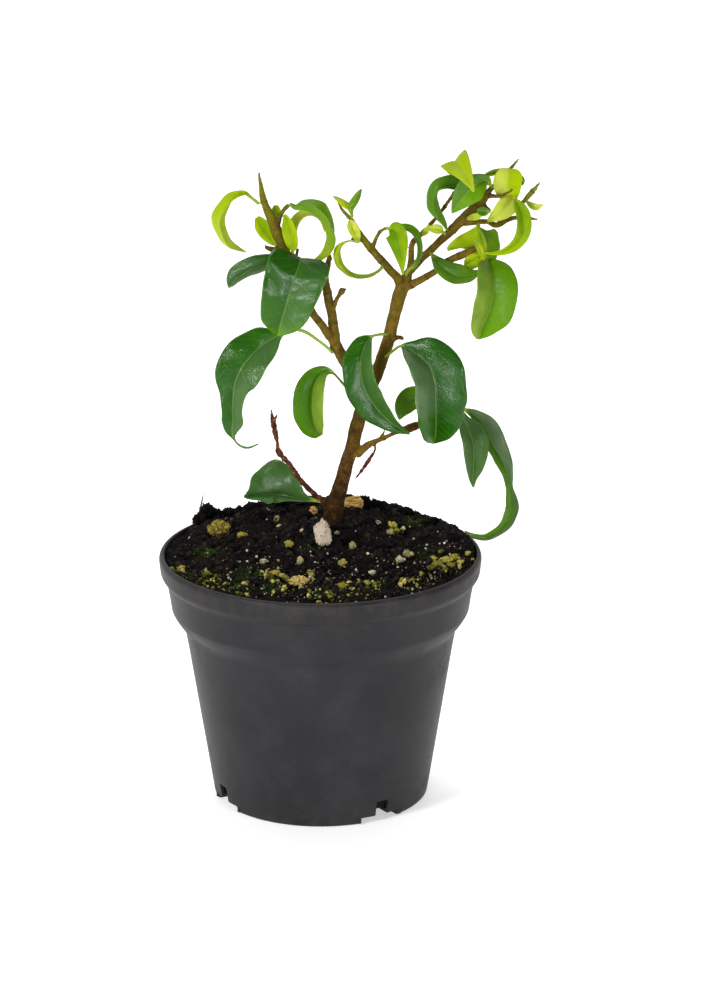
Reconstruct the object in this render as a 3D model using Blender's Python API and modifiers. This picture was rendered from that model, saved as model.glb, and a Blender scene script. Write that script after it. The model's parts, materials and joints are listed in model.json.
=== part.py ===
"""A small curly-leaved ficus bonsai in a round nursery pot. Metres, +Z up, front at -Y.

The origin is the middle of the pot's underside. The plant was drawn from the front, looking
down at VIEW_TILT from VIEW_DISTANCE away. A row of a branch or leaf starts with how far right
and how far up of the rim's middle the point is seen, and how far nearer than the trunk it stands.
"""
import math

import bmesh
import bpy
from mathutils import Vector, noise

MM = 0.001
GAP = 0.3 * MM

# The front view that the plant was drawn from
VIEW_TILT = math.radians(17.7)
VIEW_DISTANCE = 1300 * MM
VIEW_AIM_RIGHT = 12.4 * MM
VIEW_AIM_UP = 18.7 * MM

# Pot
POT_HEIGHT = 82.5 * MM
RIM_RADIUS = 52.6 * MM
LIP_HEIGHT = 6.0 * MM
STEP_HEIGHT = 57.0 * MM
STEP_RADIUS = 44.3 * MM
BODY_TOP_RADIUS = 43.4 * MM
BODY_TOP_HEIGHT = 52.0 * MM
FOOT_RADIUS = 35.2 * MM
WALL = 1.0 * MM
BASE_THICKNESS = 1.2 * MM
POT_SIDES = 48
SLOT_ANGLES = (-62, 34, 118, 208)
SLOT_WIDTH = 4.5 * MM
SLOT_TOP = 7.3 * MM
CHANNEL_WIDTH = 14.5 * MM
CHANNEL_HEIGHT = 2.3 * MM
CHANNEL_INNER_RADIUS = 25.0 * MM

# Soil
SOIL_RINGS = 7
SOIL_EDGE_DROP = 1.2 * MM
HEAP_HEIGHT = 7.0 * MM
HEAP_SPREAD = 20.0 * MM
HEAP_AT = (3 * MM, 24 * MM)
CLOD_HEIGHT = 4.0 * MM
CLOD_SPREAD = 5.0 * MM
CLOD_AT = (-36 * MM, 28 * MM)
LUMP_HEIGHT = 0.9 * MM
LUMP_SIZE = 7.0 * MM

# Trunk
TRUNK_Y = 16.0 * MM
ROOT_DEPTH = 26.0 * MM
LIMB_STATION = 4.5 * MM

# Leaves
LEAF_THICKNESS = 0.8 * MM
LEAF_STATIONS = 11
LEAF_LANES = 4

COLOURS = {
    "pot_plastic": ((0.045, 0.045, 0.048), 0.5),
    "soil": ((0.012, 0.010, 0.009), 0.95),
    "bark": ((0.16, 0.10, 0.03), 0.75),
    "leaf_mature": ((0.03, 0.15, 0.012), 0.35),
    "leaf_green": ((0.14, 0.33, 0.02), 0.4),
    "leaf_young": ((0.40, 0.58, 0.03), 0.45),
    "leaf_pale": ((0.68, 0.70, 0.22), 0.55),
    "stone": ((0.62, 0.55, 0.46), 0.85),
    "wood_chip": ((0.55, 0.30, 0.07), 0.8),
    "crumb": ((0.42, 0.36, 0.08), 0.9),
}

# Each row of a limb: right, up, near, radius, all in mm
LIMBS = {
    "trunk": ((4.0, 10.6, 0, 3.1), (4.6, 15.0, 0, 3.3), (5.9, 19.4, 0, 2.6), (10.0, 33.1, 0.5, 2.25),
              (11.9, 41.2, 1, 2.35), (15.1, 50.3, 1, 2.2), (18.7, 59.1, 0.5, 2.1),
              (22.0, 68.9, 0, 2.1), (23.6, 75.4, 0, 2.05), (26.5, 86.2, 0, 2.3)),
    "left_branch": ((14.7, 50.0, 1, 1.8), (11.2, 56.5, 3, 1.8), (7.3, 63.0, 5, 1.9),
                    (4.7, 67.3, 6, 2.0)),
    "left_front_shoot": ((5.2, 66.6, 6, 1.5), (0.5, 73.8, 8, 1.3), (-3.1, 78.7, 9, 1.3),
                         (-7.3, 87.8, 8, 1.3), (-10.9, 96.6, 6, 1.4), (-13.8, 103.1, 5, 1.9),
                         (-15.8, 108.0, 4, 1.6), (-18.1, 112.9, 4, 1.2), (-19.1, 117.7, 4, 0.8),
                         (-19.9, 123.3, 4, 0.25)),
    "left_ring_stalk": ((-14.4, 106.0, 4.5, 0.9), (-12.4, 110.6, 4, 0.7), (-10.4, 112.9, 4, 0.6)),
    "left_shoot_stub": ((-13.0, 98.4, 6, 0.9), (-16.6, 98.6, 5, 0.8), (-18.0, 99.3, 5, 0.5)),
    "left_inner_twig": ((-10.3, 94.2, 6, 0.7), (-8.3, 95.2, 4, 0.6), (-7.3, 98.6, 2, 0.5)),
    "left_back_shoot": ((4.9, 67.0, 6, 1.8), (4.1, 75.4, 5, 1.6), (2.4, 83.5, 4, 1.45),
                        (1.6, 89.4, 2.4, 1.2), (2.6, 94.2, 1.2, 0.95), (3.2, 96.8, 0.6, 0.6)),
    "left_inner_spur": ((-10.2, 97.0, 6, 0.8), (-8.2, 96.2, 6.4, 0.6), (-5.4, 94.4, 6.6, 0.5)),
    "left_back_stub": ((3.6, 78.0, 5, 1.0), (5.4, 82.2, 6, 0.8), (7.2, 85.4, 6.5, 1.0)),
    "middle_shoot": ((26.5, 85.6, 0, 1.7), (25.2, 88.8, 1, 1.5), (22.0, 92.3, 3, 1.35),
                     (17.8, 97.2, 5, 1.25), (15.5, 99.8, 5, 1.2), (12.6, 103.7, 5, 1.0),
                     (10.6, 107.3, 5, 0.7), (7.3, 111.0, 5, 0.5), (5.7, 113.6, 5, 0.2)),
    "middle_stalk_arc": ((16.8, 98.6, 5, 0.8), (18.1, 102.1, 6.5, 0.6), (19.6, 104.4, 8.5, 0.55),
                         (21.6, 105.3, 9.6, 0.5)),
    "middle_bud": ((12.9, 101.6, 5, 0.6), (10.0, 101.9, 4, 0.5)),
    "right_shoot": ((26.5, 85.6, 0, 1.8), (27.8, 89.4, -1, 1.5), (30.8, 93.3, -2, 1.3),
                    (36.0, 98.2, -2, 1.25), (40.2, 102.1, -2, 1.3), (46.4, 108.3, -1, 1.7),
                    (52.6, 114.2, 0, 1.4), (55.2, 117.7, 0, 0.9), (59.5, 121.8, -1, 0.6),
                    (62.2, 125.0, -1, 0.55), (64.7, 127.8, -1, 0.15)),
    "right_side_twig": ((46.7, 106.9, -1, 1.0), (53.9, 107.4, -1, 0.8), (57.5, 106.3, -0.5, 0.9),
                        (62.4, 108.5, 0, 0.7), (68.2, 108.5, 0, 0.5), (70.7, 108.0, 0, 0.15)),
    "right_spear": ((57.8, 106.6, -0.5, 0.8), (62.2, 110.5, 1, 0.7), (65.9, 113.6, 1, 0.6),
                    (68.4, 116.6, 1, 0.85), (71.4, 120.2, 1, 0.15)),
    "right_top_twig": ((54.4, 115.9, 0, 0.8), (56.4, 115.8, 2.2, 0.65), (58.5, 115.9, 3.6, 0.6),
                       (62.6, 117.6, 4.8, 0.2)),
    "right_leaf_stalk": ((52.6, 113.6, 0, 0.7), (54.2, 112.0, 1.2, 0.5), (55.3, 110.9, 2.2, 0.4)),
    "right_back_twig": ((28.6, 88.6, -1, 1.1), (29.5, 94.3, -3.5, 1.0), (29.8, 100.0, -5, 0.9),
                        (32.6, 103.2, -5, 0.8), (35.6, 106.3, -5, 0.65), (39.6, 111.0, -5, 0.6),
                        (43.6, 117.2, -5, 0.55)),
    "right_low_shoot": ((26.9, 85.6, 0, 1.6), (31.8, 88.1, 1, 1.2), (37.6, 91.4, 2, 1.05),
                        (42.2, 94.9, 4.0, 1.15), (46.7, 96.9, 5.4, 1.25), (51.0, 98.9, 5.8, 0.9)),
    "low_branch": ((11.6, 31.5, 0.5, 1.5), (15.5, 34.6, 1, 1.15), (20.7, 37.0, 1, 0.75),
                   (24.9, 38.8, 1, 0.75), (29.2, 40.3, 1, 1.4), (34.0, 41.9, 0, 0.9),
                   (38.9, 43.5, -1, 0.8), (45.6, 45.8, -1, 0.6)),
    "low_branch_spur": ((19.3, 36.5, 1, 0.6), (20.9, 39.4, 2, 0.3)),
    "dry_bud_hanging": ((17.6, 35.6, 1, 0.5), (17.7, 33.0, 1.5, 0.45), (15.7, 29.6, 2, 0.75),
                        (13.6, 26.6, 2, 0.6), (11.2, 23.6, 2, 0.15)),
    "trunk_stub": ((22.5, 68.6, 0.5, 1.0), (25.0, 69.6, 2, 0.8), (27.0, 69.3, 3, 0.6)),
    "dead_twig": ((4.0, 14.0, 0.5, 1.4), (-2.2, 18.9, 2, 1.1), (-5.4, 21.8, 3, 1.0),
                  (-8.0, 25.4, 4, 1.0), (-10.3, 28.6, 4.5, 0.9), (-13.5, 32.2, 5, 1.15),
                  (-14.0, 35.2, 5, 0.6), (-14.7, 38.5, 5, 1.05), (-15.5, 42.6, 5, 0.9),
                  (-16.1, 46.2, 5, 0.2)),
    "dead_twig_fork": ((-15.3, 41.6, 5, 0.7), (-14.0, 44.6, 5.5, 0.35)),
}

# Each leaf: material, fold in degrees, how far its edges sweep back, then rows of
# right, up, near, half width in mm, and the roll of the blade in degrees
LEAVES = {
    "leaf_left_ring_outer": ("leaf_young", 35, 0.0, (
        (-20.2, 113.2, 4.4, 0.5, -75), (-22.6, 115.2, 5, 0.5, -75), (-24.8, 116.3, 5.6, 1.4, -75),
        (-28.4, 114.6, 6, 2.7, -75), (-30.4, 111.5, 5.5, 4.1, -75), (-31.3, 107.7, 5, 5.2, -75),
        (-30.4, 103.7, 4.5, 5.0, -75), (-27.6, 100.0, 4, 3.4, -75), (-24.3, 97.6, 4, 0.35, -75))),
    "leaf_left_ring_large": ("leaf_green", 35, 0.0, (
        (-10.0, 113.3, 4, 0.5, 75), (-8.4, 111.7, 4.6, 2.2, 75), (-5.9, 111.6, 5, 4.8, 75),
        (-3.4, 110.8, 5.5, 6.0, 75), (-1.3, 109.2, 6, 6.6, 75), (0.5, 107.3, 6, 6.0, 75),
        (1.6, 105.0, 6, 5.0, 78), (2.1, 102.2, 6, 4.5, 84), (1.5, 99.5, 6, 4.0, 84),
        (0.4, 97.4, 6, 3.1, 84), (-1.2, 95.7, 6, 2.0, 80), (-3.7, 94.2, 6, 0.3, 80))),
    "leaf_left_ring_inner": ("leaf_young", 30, 0.0, (
        (-7.6, 98.8, 1.2, 0.5, 60), (-7.9, 102.4, -0.6, 1.6, 60), (-7.1, 105.8, -2, 2.6, 62),
        (-5.0, 108.6, -3, 3.6, 66), (-2.0, 109.2, -3.5, 3.8, 70), (0.5, 107.2, -3.5, 3.0, 70),
        (1.6, 103.9, -3, 0.5, 70))),
    "leaf_left_narrow": ("leaf_young", 25, 0.0, (
        (-9.0, 98.0, 6.7, 0.5, 20), (-9.0, 99.8, 7.3, 2.1, 20), (-9.6, 103.2, 7.2, 2.7, 20),
        (-10.4, 106.8, 6.6, 2.2, 20), (-11.6, 109.8, 6, 0.5, 20))),
    "leaf_left_bud_scale": ("leaf_young", 20, 0.0, (
        (-13.9, 104.8, 1.8, 0.5, 10), (-14.1, 108.0, 1.3, 1.6, 10), (-14.3, 110.6, 1, 1.9, 10),
        (-14.4, 112.8, 1, 0.8, 10))),
    "leaf_left_behind_stem": ("leaf_young", 25, 0.0, (
        (-14.3, 99.8, 3.8, 0.6, 15), (-15.7, 101.4, 2.6, 1.8, 15), (-17.3, 103.8, 1.2, 2.7, 15),
        (-19.1, 106.6, 0.5, 2.6, 15), (-20.6, 108.9, 0, 1.0, 15))),
    "leaf_left_drip_tip": ("leaf_mature", 38, 0.1, (
        (-12.4, 97.0, 7.4, 0.5, -30), (-15.0, 94.4, 9.2, 2.8, -30), (-19.2, 92.6, 10, 4.2, -30),
        (-23.2, 91.4, 10, 4.3, -30), (-26.4, 89.4, 9.5, 4.0, -30), (-28.7, 87.3, 9.2, 2.7, -30),
        (-29.8, 85.9, 9, 0.5, -30))),
    "leaf_left_broad": ("leaf_mature", 18, 0.35, (
        (-9.9, 96.2, 7.8, 0.5, 0), (-7.6, 94.0, 11.5, 5.0, 0), (-8.4, 89.4, 14, 9.4, 0),
        (-10.2, 84.2, 15.2, 9.5, 2), (-12.0, 78.8, 15.2, 8.4, 4), (-13.3, 74.6, 14.6, 6.4, 6),
        (-13.9, 72.2, 13.8, 4.4, 6), (-14.0, 71.0, 13.0, 0.5, 6))),
    "leaf_left_long": ("leaf_mature", 30, 0.1, (
        (3.8, 64.8, 7.6, 0.5, 0), (2.5, 66.0, 9.0, 0.5, 0), (-0.8, 68.4, 9.6, 0.5, 0),
        (-5.0, 71.0, 9.2, 0.6, 0), (-9.0, 71.4, 8.4, 0.8, 0), (-12.8, 70.2, 8.4, 2.6, -4),
        (-16.3, 68.2, 9.0, 5.8, -4), (-19.4, 65.9, 10.2, 7.7, -4), (-22.2, 63.6, 11.2, 8.5, -4),
        (-24.8, 60.9, 12, 9.0, -4), (-26.7, 57.4, 12.2, 8.8, -4), (-27.9, 54.3, 12, 7.2, -4),
        (-28.4, 50.8, 12, 5.0, -4), (-28.6, 45.9, 11.5, 4.0, -4), (-28.9, 42.2, 11, 4.1, 0),
        (-28.9, 39.4, 11, 2.6, 0), (-28.2, 36.8, 11, 0.5, 0), (-26.4, 34.6, 11.5, 0.4, 0),
        (-23.6, 33.8, 11.5, 0.4, 0), (-20.2, 35.0, 11.5, 0.25, 0))),
    "leaf_left_cupped": ("leaf_green", 38, 0.1, (
        (12.2, 49.2, 2.7, 0.5, -20), (10.0, 51.4, 5.0, 0.5, -20), (7.2, 54.6, 7.4, 0.5, -20),
        (4.2, 57.8, 9.4, 0.6, -20), (1.4, 58.3, 10.4, 2.2, -22), (-0.9, 56.2, 11.2, 4.6, -22),
        (-2.2, 52.6, 12, 6.2, -22), (-2.6, 48.2, 12.2, 6.7, -22), (-2.3, 43.8, 11.8, 6.4, -22),
        (-1.6, 40.6, 11.2, 5.0, -22), (-0.4, 38.6, 10.6, 2.8, -22), (0.4, 38.1, 10.2, 0.5, -22))),
    "leaf_soil_left": ("leaf_mature", 40, 0.1, (
        (2.9, 15.4, -3.3, 0.5, -35), (-1.2, 16.2, -8, 0.6, -35), (-5.6, 16.8, -13, 2.6, -35),
        (-9.0, 17.6, -16, 7.2, -38), (-13.0, 18.2, -18, 11.0, -38), (-17.4, 18.4, -18.6, 11.6, -38),
        (-20.6, 18.2, -18.4, 8.4, -36), (-23.2, 17.7, -18, 3.6, -34), (-25.0, 17.8, -18, 0.4, -30))),
    "leaf_middle_sickle": ("leaf_mature", 30, 0.1, (
        (21.5, 70.6, 2.35, 0.5, -30), (19.4, 70.6, 5, 0.5, -30), (16.6, 69.8, 7.6, 0.8, -32),
        (14.5, 67.4, 9.4, 3.6, -33), (13.4, 63.2, 10.6, 5.6, -32), (13.2, 58.8, 11.4, 6.1, -27),
        (13.9, 54.6, 11.6, 6.3, -20), (16.2, 49.8, 11.2, 6.3, -20), (19.6, 45.2, 10.2, 5.0, -18),
        (24.2, 41.0, 9, 2.6, -14), (29.0, 38.3, 8, 0.3, -10))),
    "leaf_middle_gull": ("leaf_green", 41, 0.0, (
        (10.4, 109.0, 6.3, 0.5, -12), (10.0, 110.4, 7.4, 1.2, -12), (9.7, 111.6, 8.8, 4.2, -12),
        (9.4, 112.3, 10.6, 5.8, -12), (9.2, 112.5, 12.6, 4.8, -12), (9.0, 112.3, 14.6, 0.6, -12))),
    "sheath_middle": ("leaf_pale", 20, 0.0, (
        (12.5, 100.6, 6.8, 0.5, 0), (11.5, 103.4, 6.9, 1.7, 0), (10.3, 106.2, 6.9, 1.8, 0),
        (9.6, 108.0, 6.4, 0.5, 0))),
    "leaf_middle_ring": ("leaf_green", 35, 0.0, (
        (20.0, 92.6, 4.7, 0.5, 75), (18.6, 91.2, 6, 0.6, 75), (15.6, 90.0, 7.5, 1.5, 75),
        (11.9, 90.1, 8, 2.1, 75), (9.2, 91.5, 8.4, 2.7, 75), (7.4, 93.6, 8.6, 3.0, 75),
        (6.5, 96.2, 8.6, 2.9, 75), (6.5, 98.4, 8.8, 2.1, 75), (7.6, 100.1, 9, 0.9, 75),
        (9.6, 101.0, 9, 0.35, 75), (12.0, 100.4, 9.4, 0.3, 75))),
    "leaf_middle_triangle": ("leaf_young", 25, 0.0, (
        (22.3, 105.2, 9.9, 0.5, -12), (24.4, 104.4, 11, 3.6, -12), (25.5, 101.4, 11.6, 3.6, -12),
        (26.2, 97.2, 11.4, 2.3, -12), (26.7, 92.4, 10.4, 0.8, -12), (26.8, 90.2, 9.8, 0.3, -12))),
    "leaf_middle_arch": ("leaf_green", 35, 0.0, (
        (27.7, 90.2, 0.7, 0.5, -75), (28.8, 91.8, 3.2, 0.6, -75), (30.8, 93.8, 4.4, 1.4, -75),
        (31.7, 96.5, 5, 2.1, -75), (31.7, 99.5, 5, 2.6, -75), (30.7, 102.2, 5, 2.8, -72),
        (28.9, 104.0, 5, 2.7, -68), (26.2, 104.9, 5, 2.0, -60), (23.6, 104.6, 5, 0.4, -60))),
    "leaf_right_broad": ("leaf_mature", 32, 0.12, (
        (21.4, 63.4, 2.8, 0.5, 22), (23.6, 65.2, 5, 0.5, 22), (26.4, 66.8, 7.5, 0.6, 22),
        (29.9, 65.0, 9.6, 4.8, 24), (33.2, 62.6, 11.4, 9.0, 26), (36.0, 59.2, 12.8, 10.6, 24),
        (37.3, 54.4, 13.4, 10.6, 22), (37.5, 49.0, 13.4, 10.2, 22), (37.5, 44.4, 12.6, 8.8, 22),
        (37.2, 41.0, 11.6, 6.6, 22), (36.8, 38.4, 10.6, 3.4, 22), (36.5, 37.0, 9.8, 0.5, 22))),
    "leaf_right_small_behind": ("leaf_green", 20, 0.0, (
        (33.8, 43.4, -1.4, 0.5, -20), (34.2, 46.4, -3, 1.0, -20), (32.4, 49.4, -4, 3.6, -20),
        (29.5, 49.2, -4, 4.3, -20), (27.0, 46.4, -3.6, 3.3, -20), (25.7, 42.9, -3.2, 0.3, -20))),
    "leaf_low_pointed": ("leaf_green", 30, 0.1, (
        (45.9, 46.0, 0.1, 0.5, 20), (46.7, 42.6, 1.8, 2.2, 20), (48.6, 38.8, 4.0, 4.6, 20),
        (49.8, 35.2, 5.4, 5.2, 20), (49.9, 31.6, 6, 4.8, 20), (49.8, 27.4, 6, 3.6, 20),
        (49.5, 23.8, 5.8, 1.7, 20), (49.8, 20.9, 5.4, 0.3, 20))),
    "leaf_low_tail": ("leaf_green", 30, 0.0, (
        (46.7, 46.3, -2.0, 0.5, 30), (50.4, 44.0, -2.4, 2.4, 32), (54.4, 39.6, -2.2, 4.2, 32),
        (56.2, 34.6, -1.8, 4.5, 32), (57.9, 31.7, -1.6, 4.2, 30), (59.7, 28.5, -1.4, 3.2, 18),
        (61.1, 25.2, -1, 2.1, -5), (61.9, 21.6, -0.8, 1.8, -40), (63.1, 17.8, -0.2, 2.8, -45),
        (63.5, 13.9, 0.6, 3.5, -45), (62.0, 9.9, 1.4, 3.1, -45), (59.2, 6.7, 2.2, 2.4, -45),
        (55.8, 4.7, 2.8, 1.9, -45), (52.9, 4.1, 3.6, 1.5, -40), (49.2, 4.9, 4.4, 1.1, -30),
        (47.0, 6.6, 4.8, 0.3, -30))),
    "leaf_top_yellow": ("leaf_young", 15, 0.0, (
        (49.4, 112.2, -2.4, 0.5, 0), (48.4, 116.0, -4.6, 0.8, 0), (46.6, 120.6, -5.2, 1.8, 0),
        (44.8, 125.0, -3.6, 3.8, 0), (43.7, 127.3, -0.2, 4.9, 0), (45.0, 125.8, 3.8, 4.5, 0),
        (47.2, 122.6, 7.4, 2.7, 0), (49.0, 119.4, 9.8, 1.2, 0), (49.9, 117.1, 10.8, 0.3, 0))),
    "leaf_top_glossy": ("leaf_green", 22, 0.1, (
        (55.4, 119.4, 1.4, 0.5, 10), (53.6, 120.8, 2.6, 2.0, 10), (50.6, 119.4, 4.0, 4.0, 10),
        (48.4, 117.6, 4.8, 4.9, 10), (46.4, 115.4, 5.2, 4.1, 10), (44.4, 112.6, 5, 2.2, 10),
        (42.9, 110.2, 4.6, 0.3, 10))),
    "leaf_right_ring_left": ("leaf_green", 35, 0.0, (
        (41.0, 105.2, -0.6, 0.5, 75), (40.7, 106.8, 0, 2.2, 75), (40.2, 108.4, 0.2, 3.4, 75),
        (39.1, 110.6, 0.4, 4.3, 75), (38.2, 113.1, 0.6, 4.6, 75), (37.8, 115.5, 0.6, 4.5, 75),
        (38.5, 117.5, 0.6, 4.0, 72), (40.6, 118.4, 0.4, 3.8, 65), (43.2, 118.8, 0.2, 4.0, 55),
        (46.2, 119.3, 0, 2.4, 50), (48.6, 119.2, -0.2, 0.4, 50))),
    "sheath_right_low": ("leaf_pale", 15, 0.0, (
        (39.8, 104.0, 0.2, 0.5, 0), (38.4, 104.9, 0.9, 1.6, 0), (36.4, 105.2, 1.2, 1.3, 0),
        (35.2, 105.5, 1.3, 0.4, 0))),
    "leaf_top_pale": ("leaf_pale", 12, 0.3, (
        (61.6, 124.5, 0.2, 0.5, 0), (61.5, 123.5, 1.0, 3.4, 0), (61.3, 121.6, 1.4, 4.6, 0),
        (61.1, 119.4, 1.4, 4.9, 0), (61.4, 117.4, 1.2, 4.2, 0), (61.9, 115.6, 1.0, 2.4, 0),
        (62.2, 114.2, 0.8, 0.4, 0))),
    "leaf_top_behind": ("leaf_green", 30, 0.0, (
        (55.5, 119.0, -1.6, 0.5, 60), (54.2, 121.8, -3.6, 1.0, 60), (56.2, 122.6, -4.6, 1.9, 60),
        (59.6, 122.6, -5, 2.4, 60), (63.0, 121.8, -4.8, 2.4, 60), (65.0, 120.6, -4.6, 2.0, 60),
        (65.6, 119.2, -4.2, 0.4, 60))),
    "sheath_right_upper": ("leaf_pale", 15, 0.0, (
        (54.6, 107.8, 1.3, 0.5, 0), (57.0, 109.2, 2.4, 1.9, 0), (59.6, 111.2, 3, 3.0, 0),
        (61.2, 113.0, 2.7, 2.5, 0), (62.0, 114.2, 2.2, 0.6, 0))),
    "sheath_right_inner": ("leaf_pale", 15, 0.0, (
        (47.8, 108.4, 1.5, 0.5, 0), (49.4, 108.8, 1.6, 1.1, 0), (51.2, 109.2, 1.7, 1.2, 0),
        (52.9, 109.6, 1.7, 0.4, 0))),
    "leaf_right_round_small": ("leaf_green", 15, 0.0, (
        (54.8, 110.8, 2.9, 0.5, 0), (53.6, 110.7, 4, 1.4, 0), (52.2, 110.9, 4.2, 1.5, 0),
        (51.0, 111.2, 4.2, 0.5, 0))),
    "leaf_right_ring_outer": ("leaf_young", 35, 0.0, (
        (64.4, 113.2, 2.0, 0.5, 22), (63.5, 114.3, 4.0, 0.8, 22), (64.4, 112.4, 5.2, 2.2, 22),
        (65.4, 109.8, 6, 2.9, 22), (65.8, 107.0, 6.4, 3.1, 22), (65.5, 104.2, 6.8, 3.0, 22),
        (64.4, 101.8, 7, 2.7, 22), (62.2, 99.4, 7.4, 2.2, 22), (59.0, 97.7, 8, 1.3, 25),
        (55.6, 97.2, 8, 0.6, 30), (53.4, 97.4, 8, 0.3, 30))),
    "leaf_right_centre": ("leaf_young", -30, 0.0, (
        (51.2, 106.0, 0.2, 0.5, 30), (51.7, 104.6, 1.2, 7.6, 30), (52.4, 102.1, 1.8, 11.3, 30),
        (53.0, 99.5, 2.2, 10.4, 30), (52.8, 96.9, 2.6, 6.6, 12), (51.7, 94.5, 3.0, 5.4, 0),
        (50.6, 92.8, 3.4, 0.4, 0))),
    "leaf_right_crescent": ("leaf_green", 20, 0.0, (
        (36.4, 96.6, -0.6, 0.5, 30), (37.8, 94.8, 4, 1.6, 30), (40.2, 92.0, 8, 3.2, 30),
        (43.9, 89.9, 10.2, 3.9, 30), (47.7, 89.5, 10.6, 3.2, 30), (50.4, 90.4, 10.4, 1.7, 30),
        (51.8, 91.4, 10, 0.4, 30))),
    "leaf_right_hanging": ("leaf_green", 32, 0.1, (
        (52.1, 98.4, 5.0, 0.5, 19), (54.2, 95.6, 3.6, 0.7, 19), (55.2, 93.2, 6.0, 3.6, 19),
        (55.9, 90.4, 8.6, 6.6, 19), (56.3, 87.2, 10.4, 7.8, 19), (56.2, 83.7, 11.6, 8.2, 19),
        (55.4, 79.9, 12, 8.2, 19), (54.0, 76.2, 11.6, 7.2, 19), (52.6, 72.8, 10.6, 5.0, 19),
        (51.8, 70.4, 9.4, 2.2, 19), (51.6, 69.2, 8.6, 0.4, 19))),
    "sheath_right_tip": ("leaf_pale", 15, 0.0, (
        (67.4, 113.8, 1.5, 0.5, 0), (69.0, 112.6, 2, 1.1, 0), (70.6, 112.2, 2.2, 1.1, 0),
        (72.5, 112.9, 2.2, 0.3, 0))),
}

# A leaf whose upper side, where it is widest, doesn't face the viewer: that side's direction
LEAF_FACING = {
    "leaf_middle_gull": (0, 1, 0),
    "leaf_top_yellow": (-0.57, 0.82, 0),
}

# Each loose piece: material, place over the rim's middle, half sizes in mm, turn about Z, seed
LOOSE = {
    "stone_pale": ("stone", (0.7, 4.0, 4.6), (2.5, 3.0, 4.4), 20, 3),
    "bark_chip_golden": ("wood_chip", (10.6, 31.0, 6.4), (3.3, 1.6, 2.4), 15, 5),
    "bark_chip_orange": ("wood_chip", (-2.6, 22.0, 6.0), (1.4, 1.5, 2.1), 0, 8),
    "crumb_ball_left": ("crumb", (-33.6, 19.5, 1.2), (3.5, 3.3, 3.0), 0, 11),
    "crumb_block_front": ("crumb", (-6.6, -30.0, 0.0), (3.3, 2.4, 1.7), 10, 14),
}


def remove_everything():
    for obj in list(bpy.data.objects):
        bpy.data.objects.remove(obj)


def new_collection(name):
    collection = bpy.data.collections.new(name)
    bpy.context.scene.collection.children.link(collection)
    return collection


def new_material(name, colour, roughness):
    material = bpy.data.materials.new(name)
    material.use_nodes = True
    shader = material.node_tree.nodes["Principled BSDF"]
    shader.inputs["Base Color"].default_value = (*colour, 1)
    shader.inputs["Roughness"].default_value = roughness
    return material


def new_object(name, data, collection, material=None):
    obj = bpy.data.objects.new(name, data)
    collection.objects.link(obj)
    if material:
        data.materials.append(material)
    return obj


def mesh_of(bm, name):
    mesh = bpy.data.meshes.new(name)
    bm.to_mesh(mesh)
    bm.free()
    return mesh


def as_cutter(obj):
    obj.hide_render = True
    obj.display_type = "WIRE"


def boolean(obj, operation, collection, solver="EXACT"):
    """Cuts obj by, or joins it with, all that the collection holds, and applies it."""
    modifier = obj.modifiers.new(operation.lower(), "BOOLEAN")
    modifier.operation = operation
    modifier.operand_type = "COLLECTION"
    modifier.collection = collection
    modifier.solver = solver
    old = obj.data
    obj.data = bpy.data.meshes.new_from_object(obj.evaluated_get(bpy.context.evaluated_depsgraph_get()))
    obj.modifiers.clear()
    bpy.data.meshes.remove(old)


def across_view(vector):
    """A vector given as right, up and near in the drawn view, turned into the world."""
    right, up, near = vector
    return Vector((right, up * math.sin(VIEW_TILT) - near * math.cos(VIEW_TILT),
                   up * math.cos(VIEW_TILT) + near * math.sin(VIEW_TILT)))


RIM_MIDDLE = Vector((0, 0, POT_HEIGHT))
EYE = RIM_MIDDLE + across_view((VIEW_AIM_RIGHT, VIEW_AIM_UP, VIEW_DISTANCE))


def seen(right, up, near):
    """The point seen at right, up of the rim's middle that stands near mm before the trunk."""
    drawn = RIM_MIDDLE + across_view((right * MM, up * MM, 0))
    reach = (TRUNK_Y - near * MM - EYE.y) / (drawn.y - EYE.y)
    return EYE + (drawn - EYE) * reach


def blend_rows(rows, position):
    """A row between the given ones, on a Catmull-Rom curve through them all."""
    first = min(int(position), len(rows) - 2)
    t = position - first
    before = rows[max(first - 1, 0)]
    after = rows[min(first + 2, len(rows) - 1)]
    mixed = []
    for a, b, c, d in zip(before, rows[first], rows[first + 1], after):
        mixed.append(b + 0.5 * t * (c - a + t * (2 * a - 5 * b + 4 * c - d + t * (3 * (b - c) + d - a))))
    return mixed


def even_rows(rows, count):
    """Rows on the curve, evenly apart along it in 3D."""
    fine = [blend_rows(rows, (len(rows) - 1) * i / 200) for i in range(201)]
    points = [seen(*row[:3]) for row in fine]
    lengths = [0]
    for a, b in zip(points, points[1:]):
        lengths.append(lengths[-1] + (b - a).length)
    chosen = []
    i = 0
    for step in range(count):
        target = lengths[-1] * step / (count - 1)
        while i < 200 and lengths[i] < target - 1e-9:
            i += 1
        chosen.append(fine[i])
    return chosen


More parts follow.
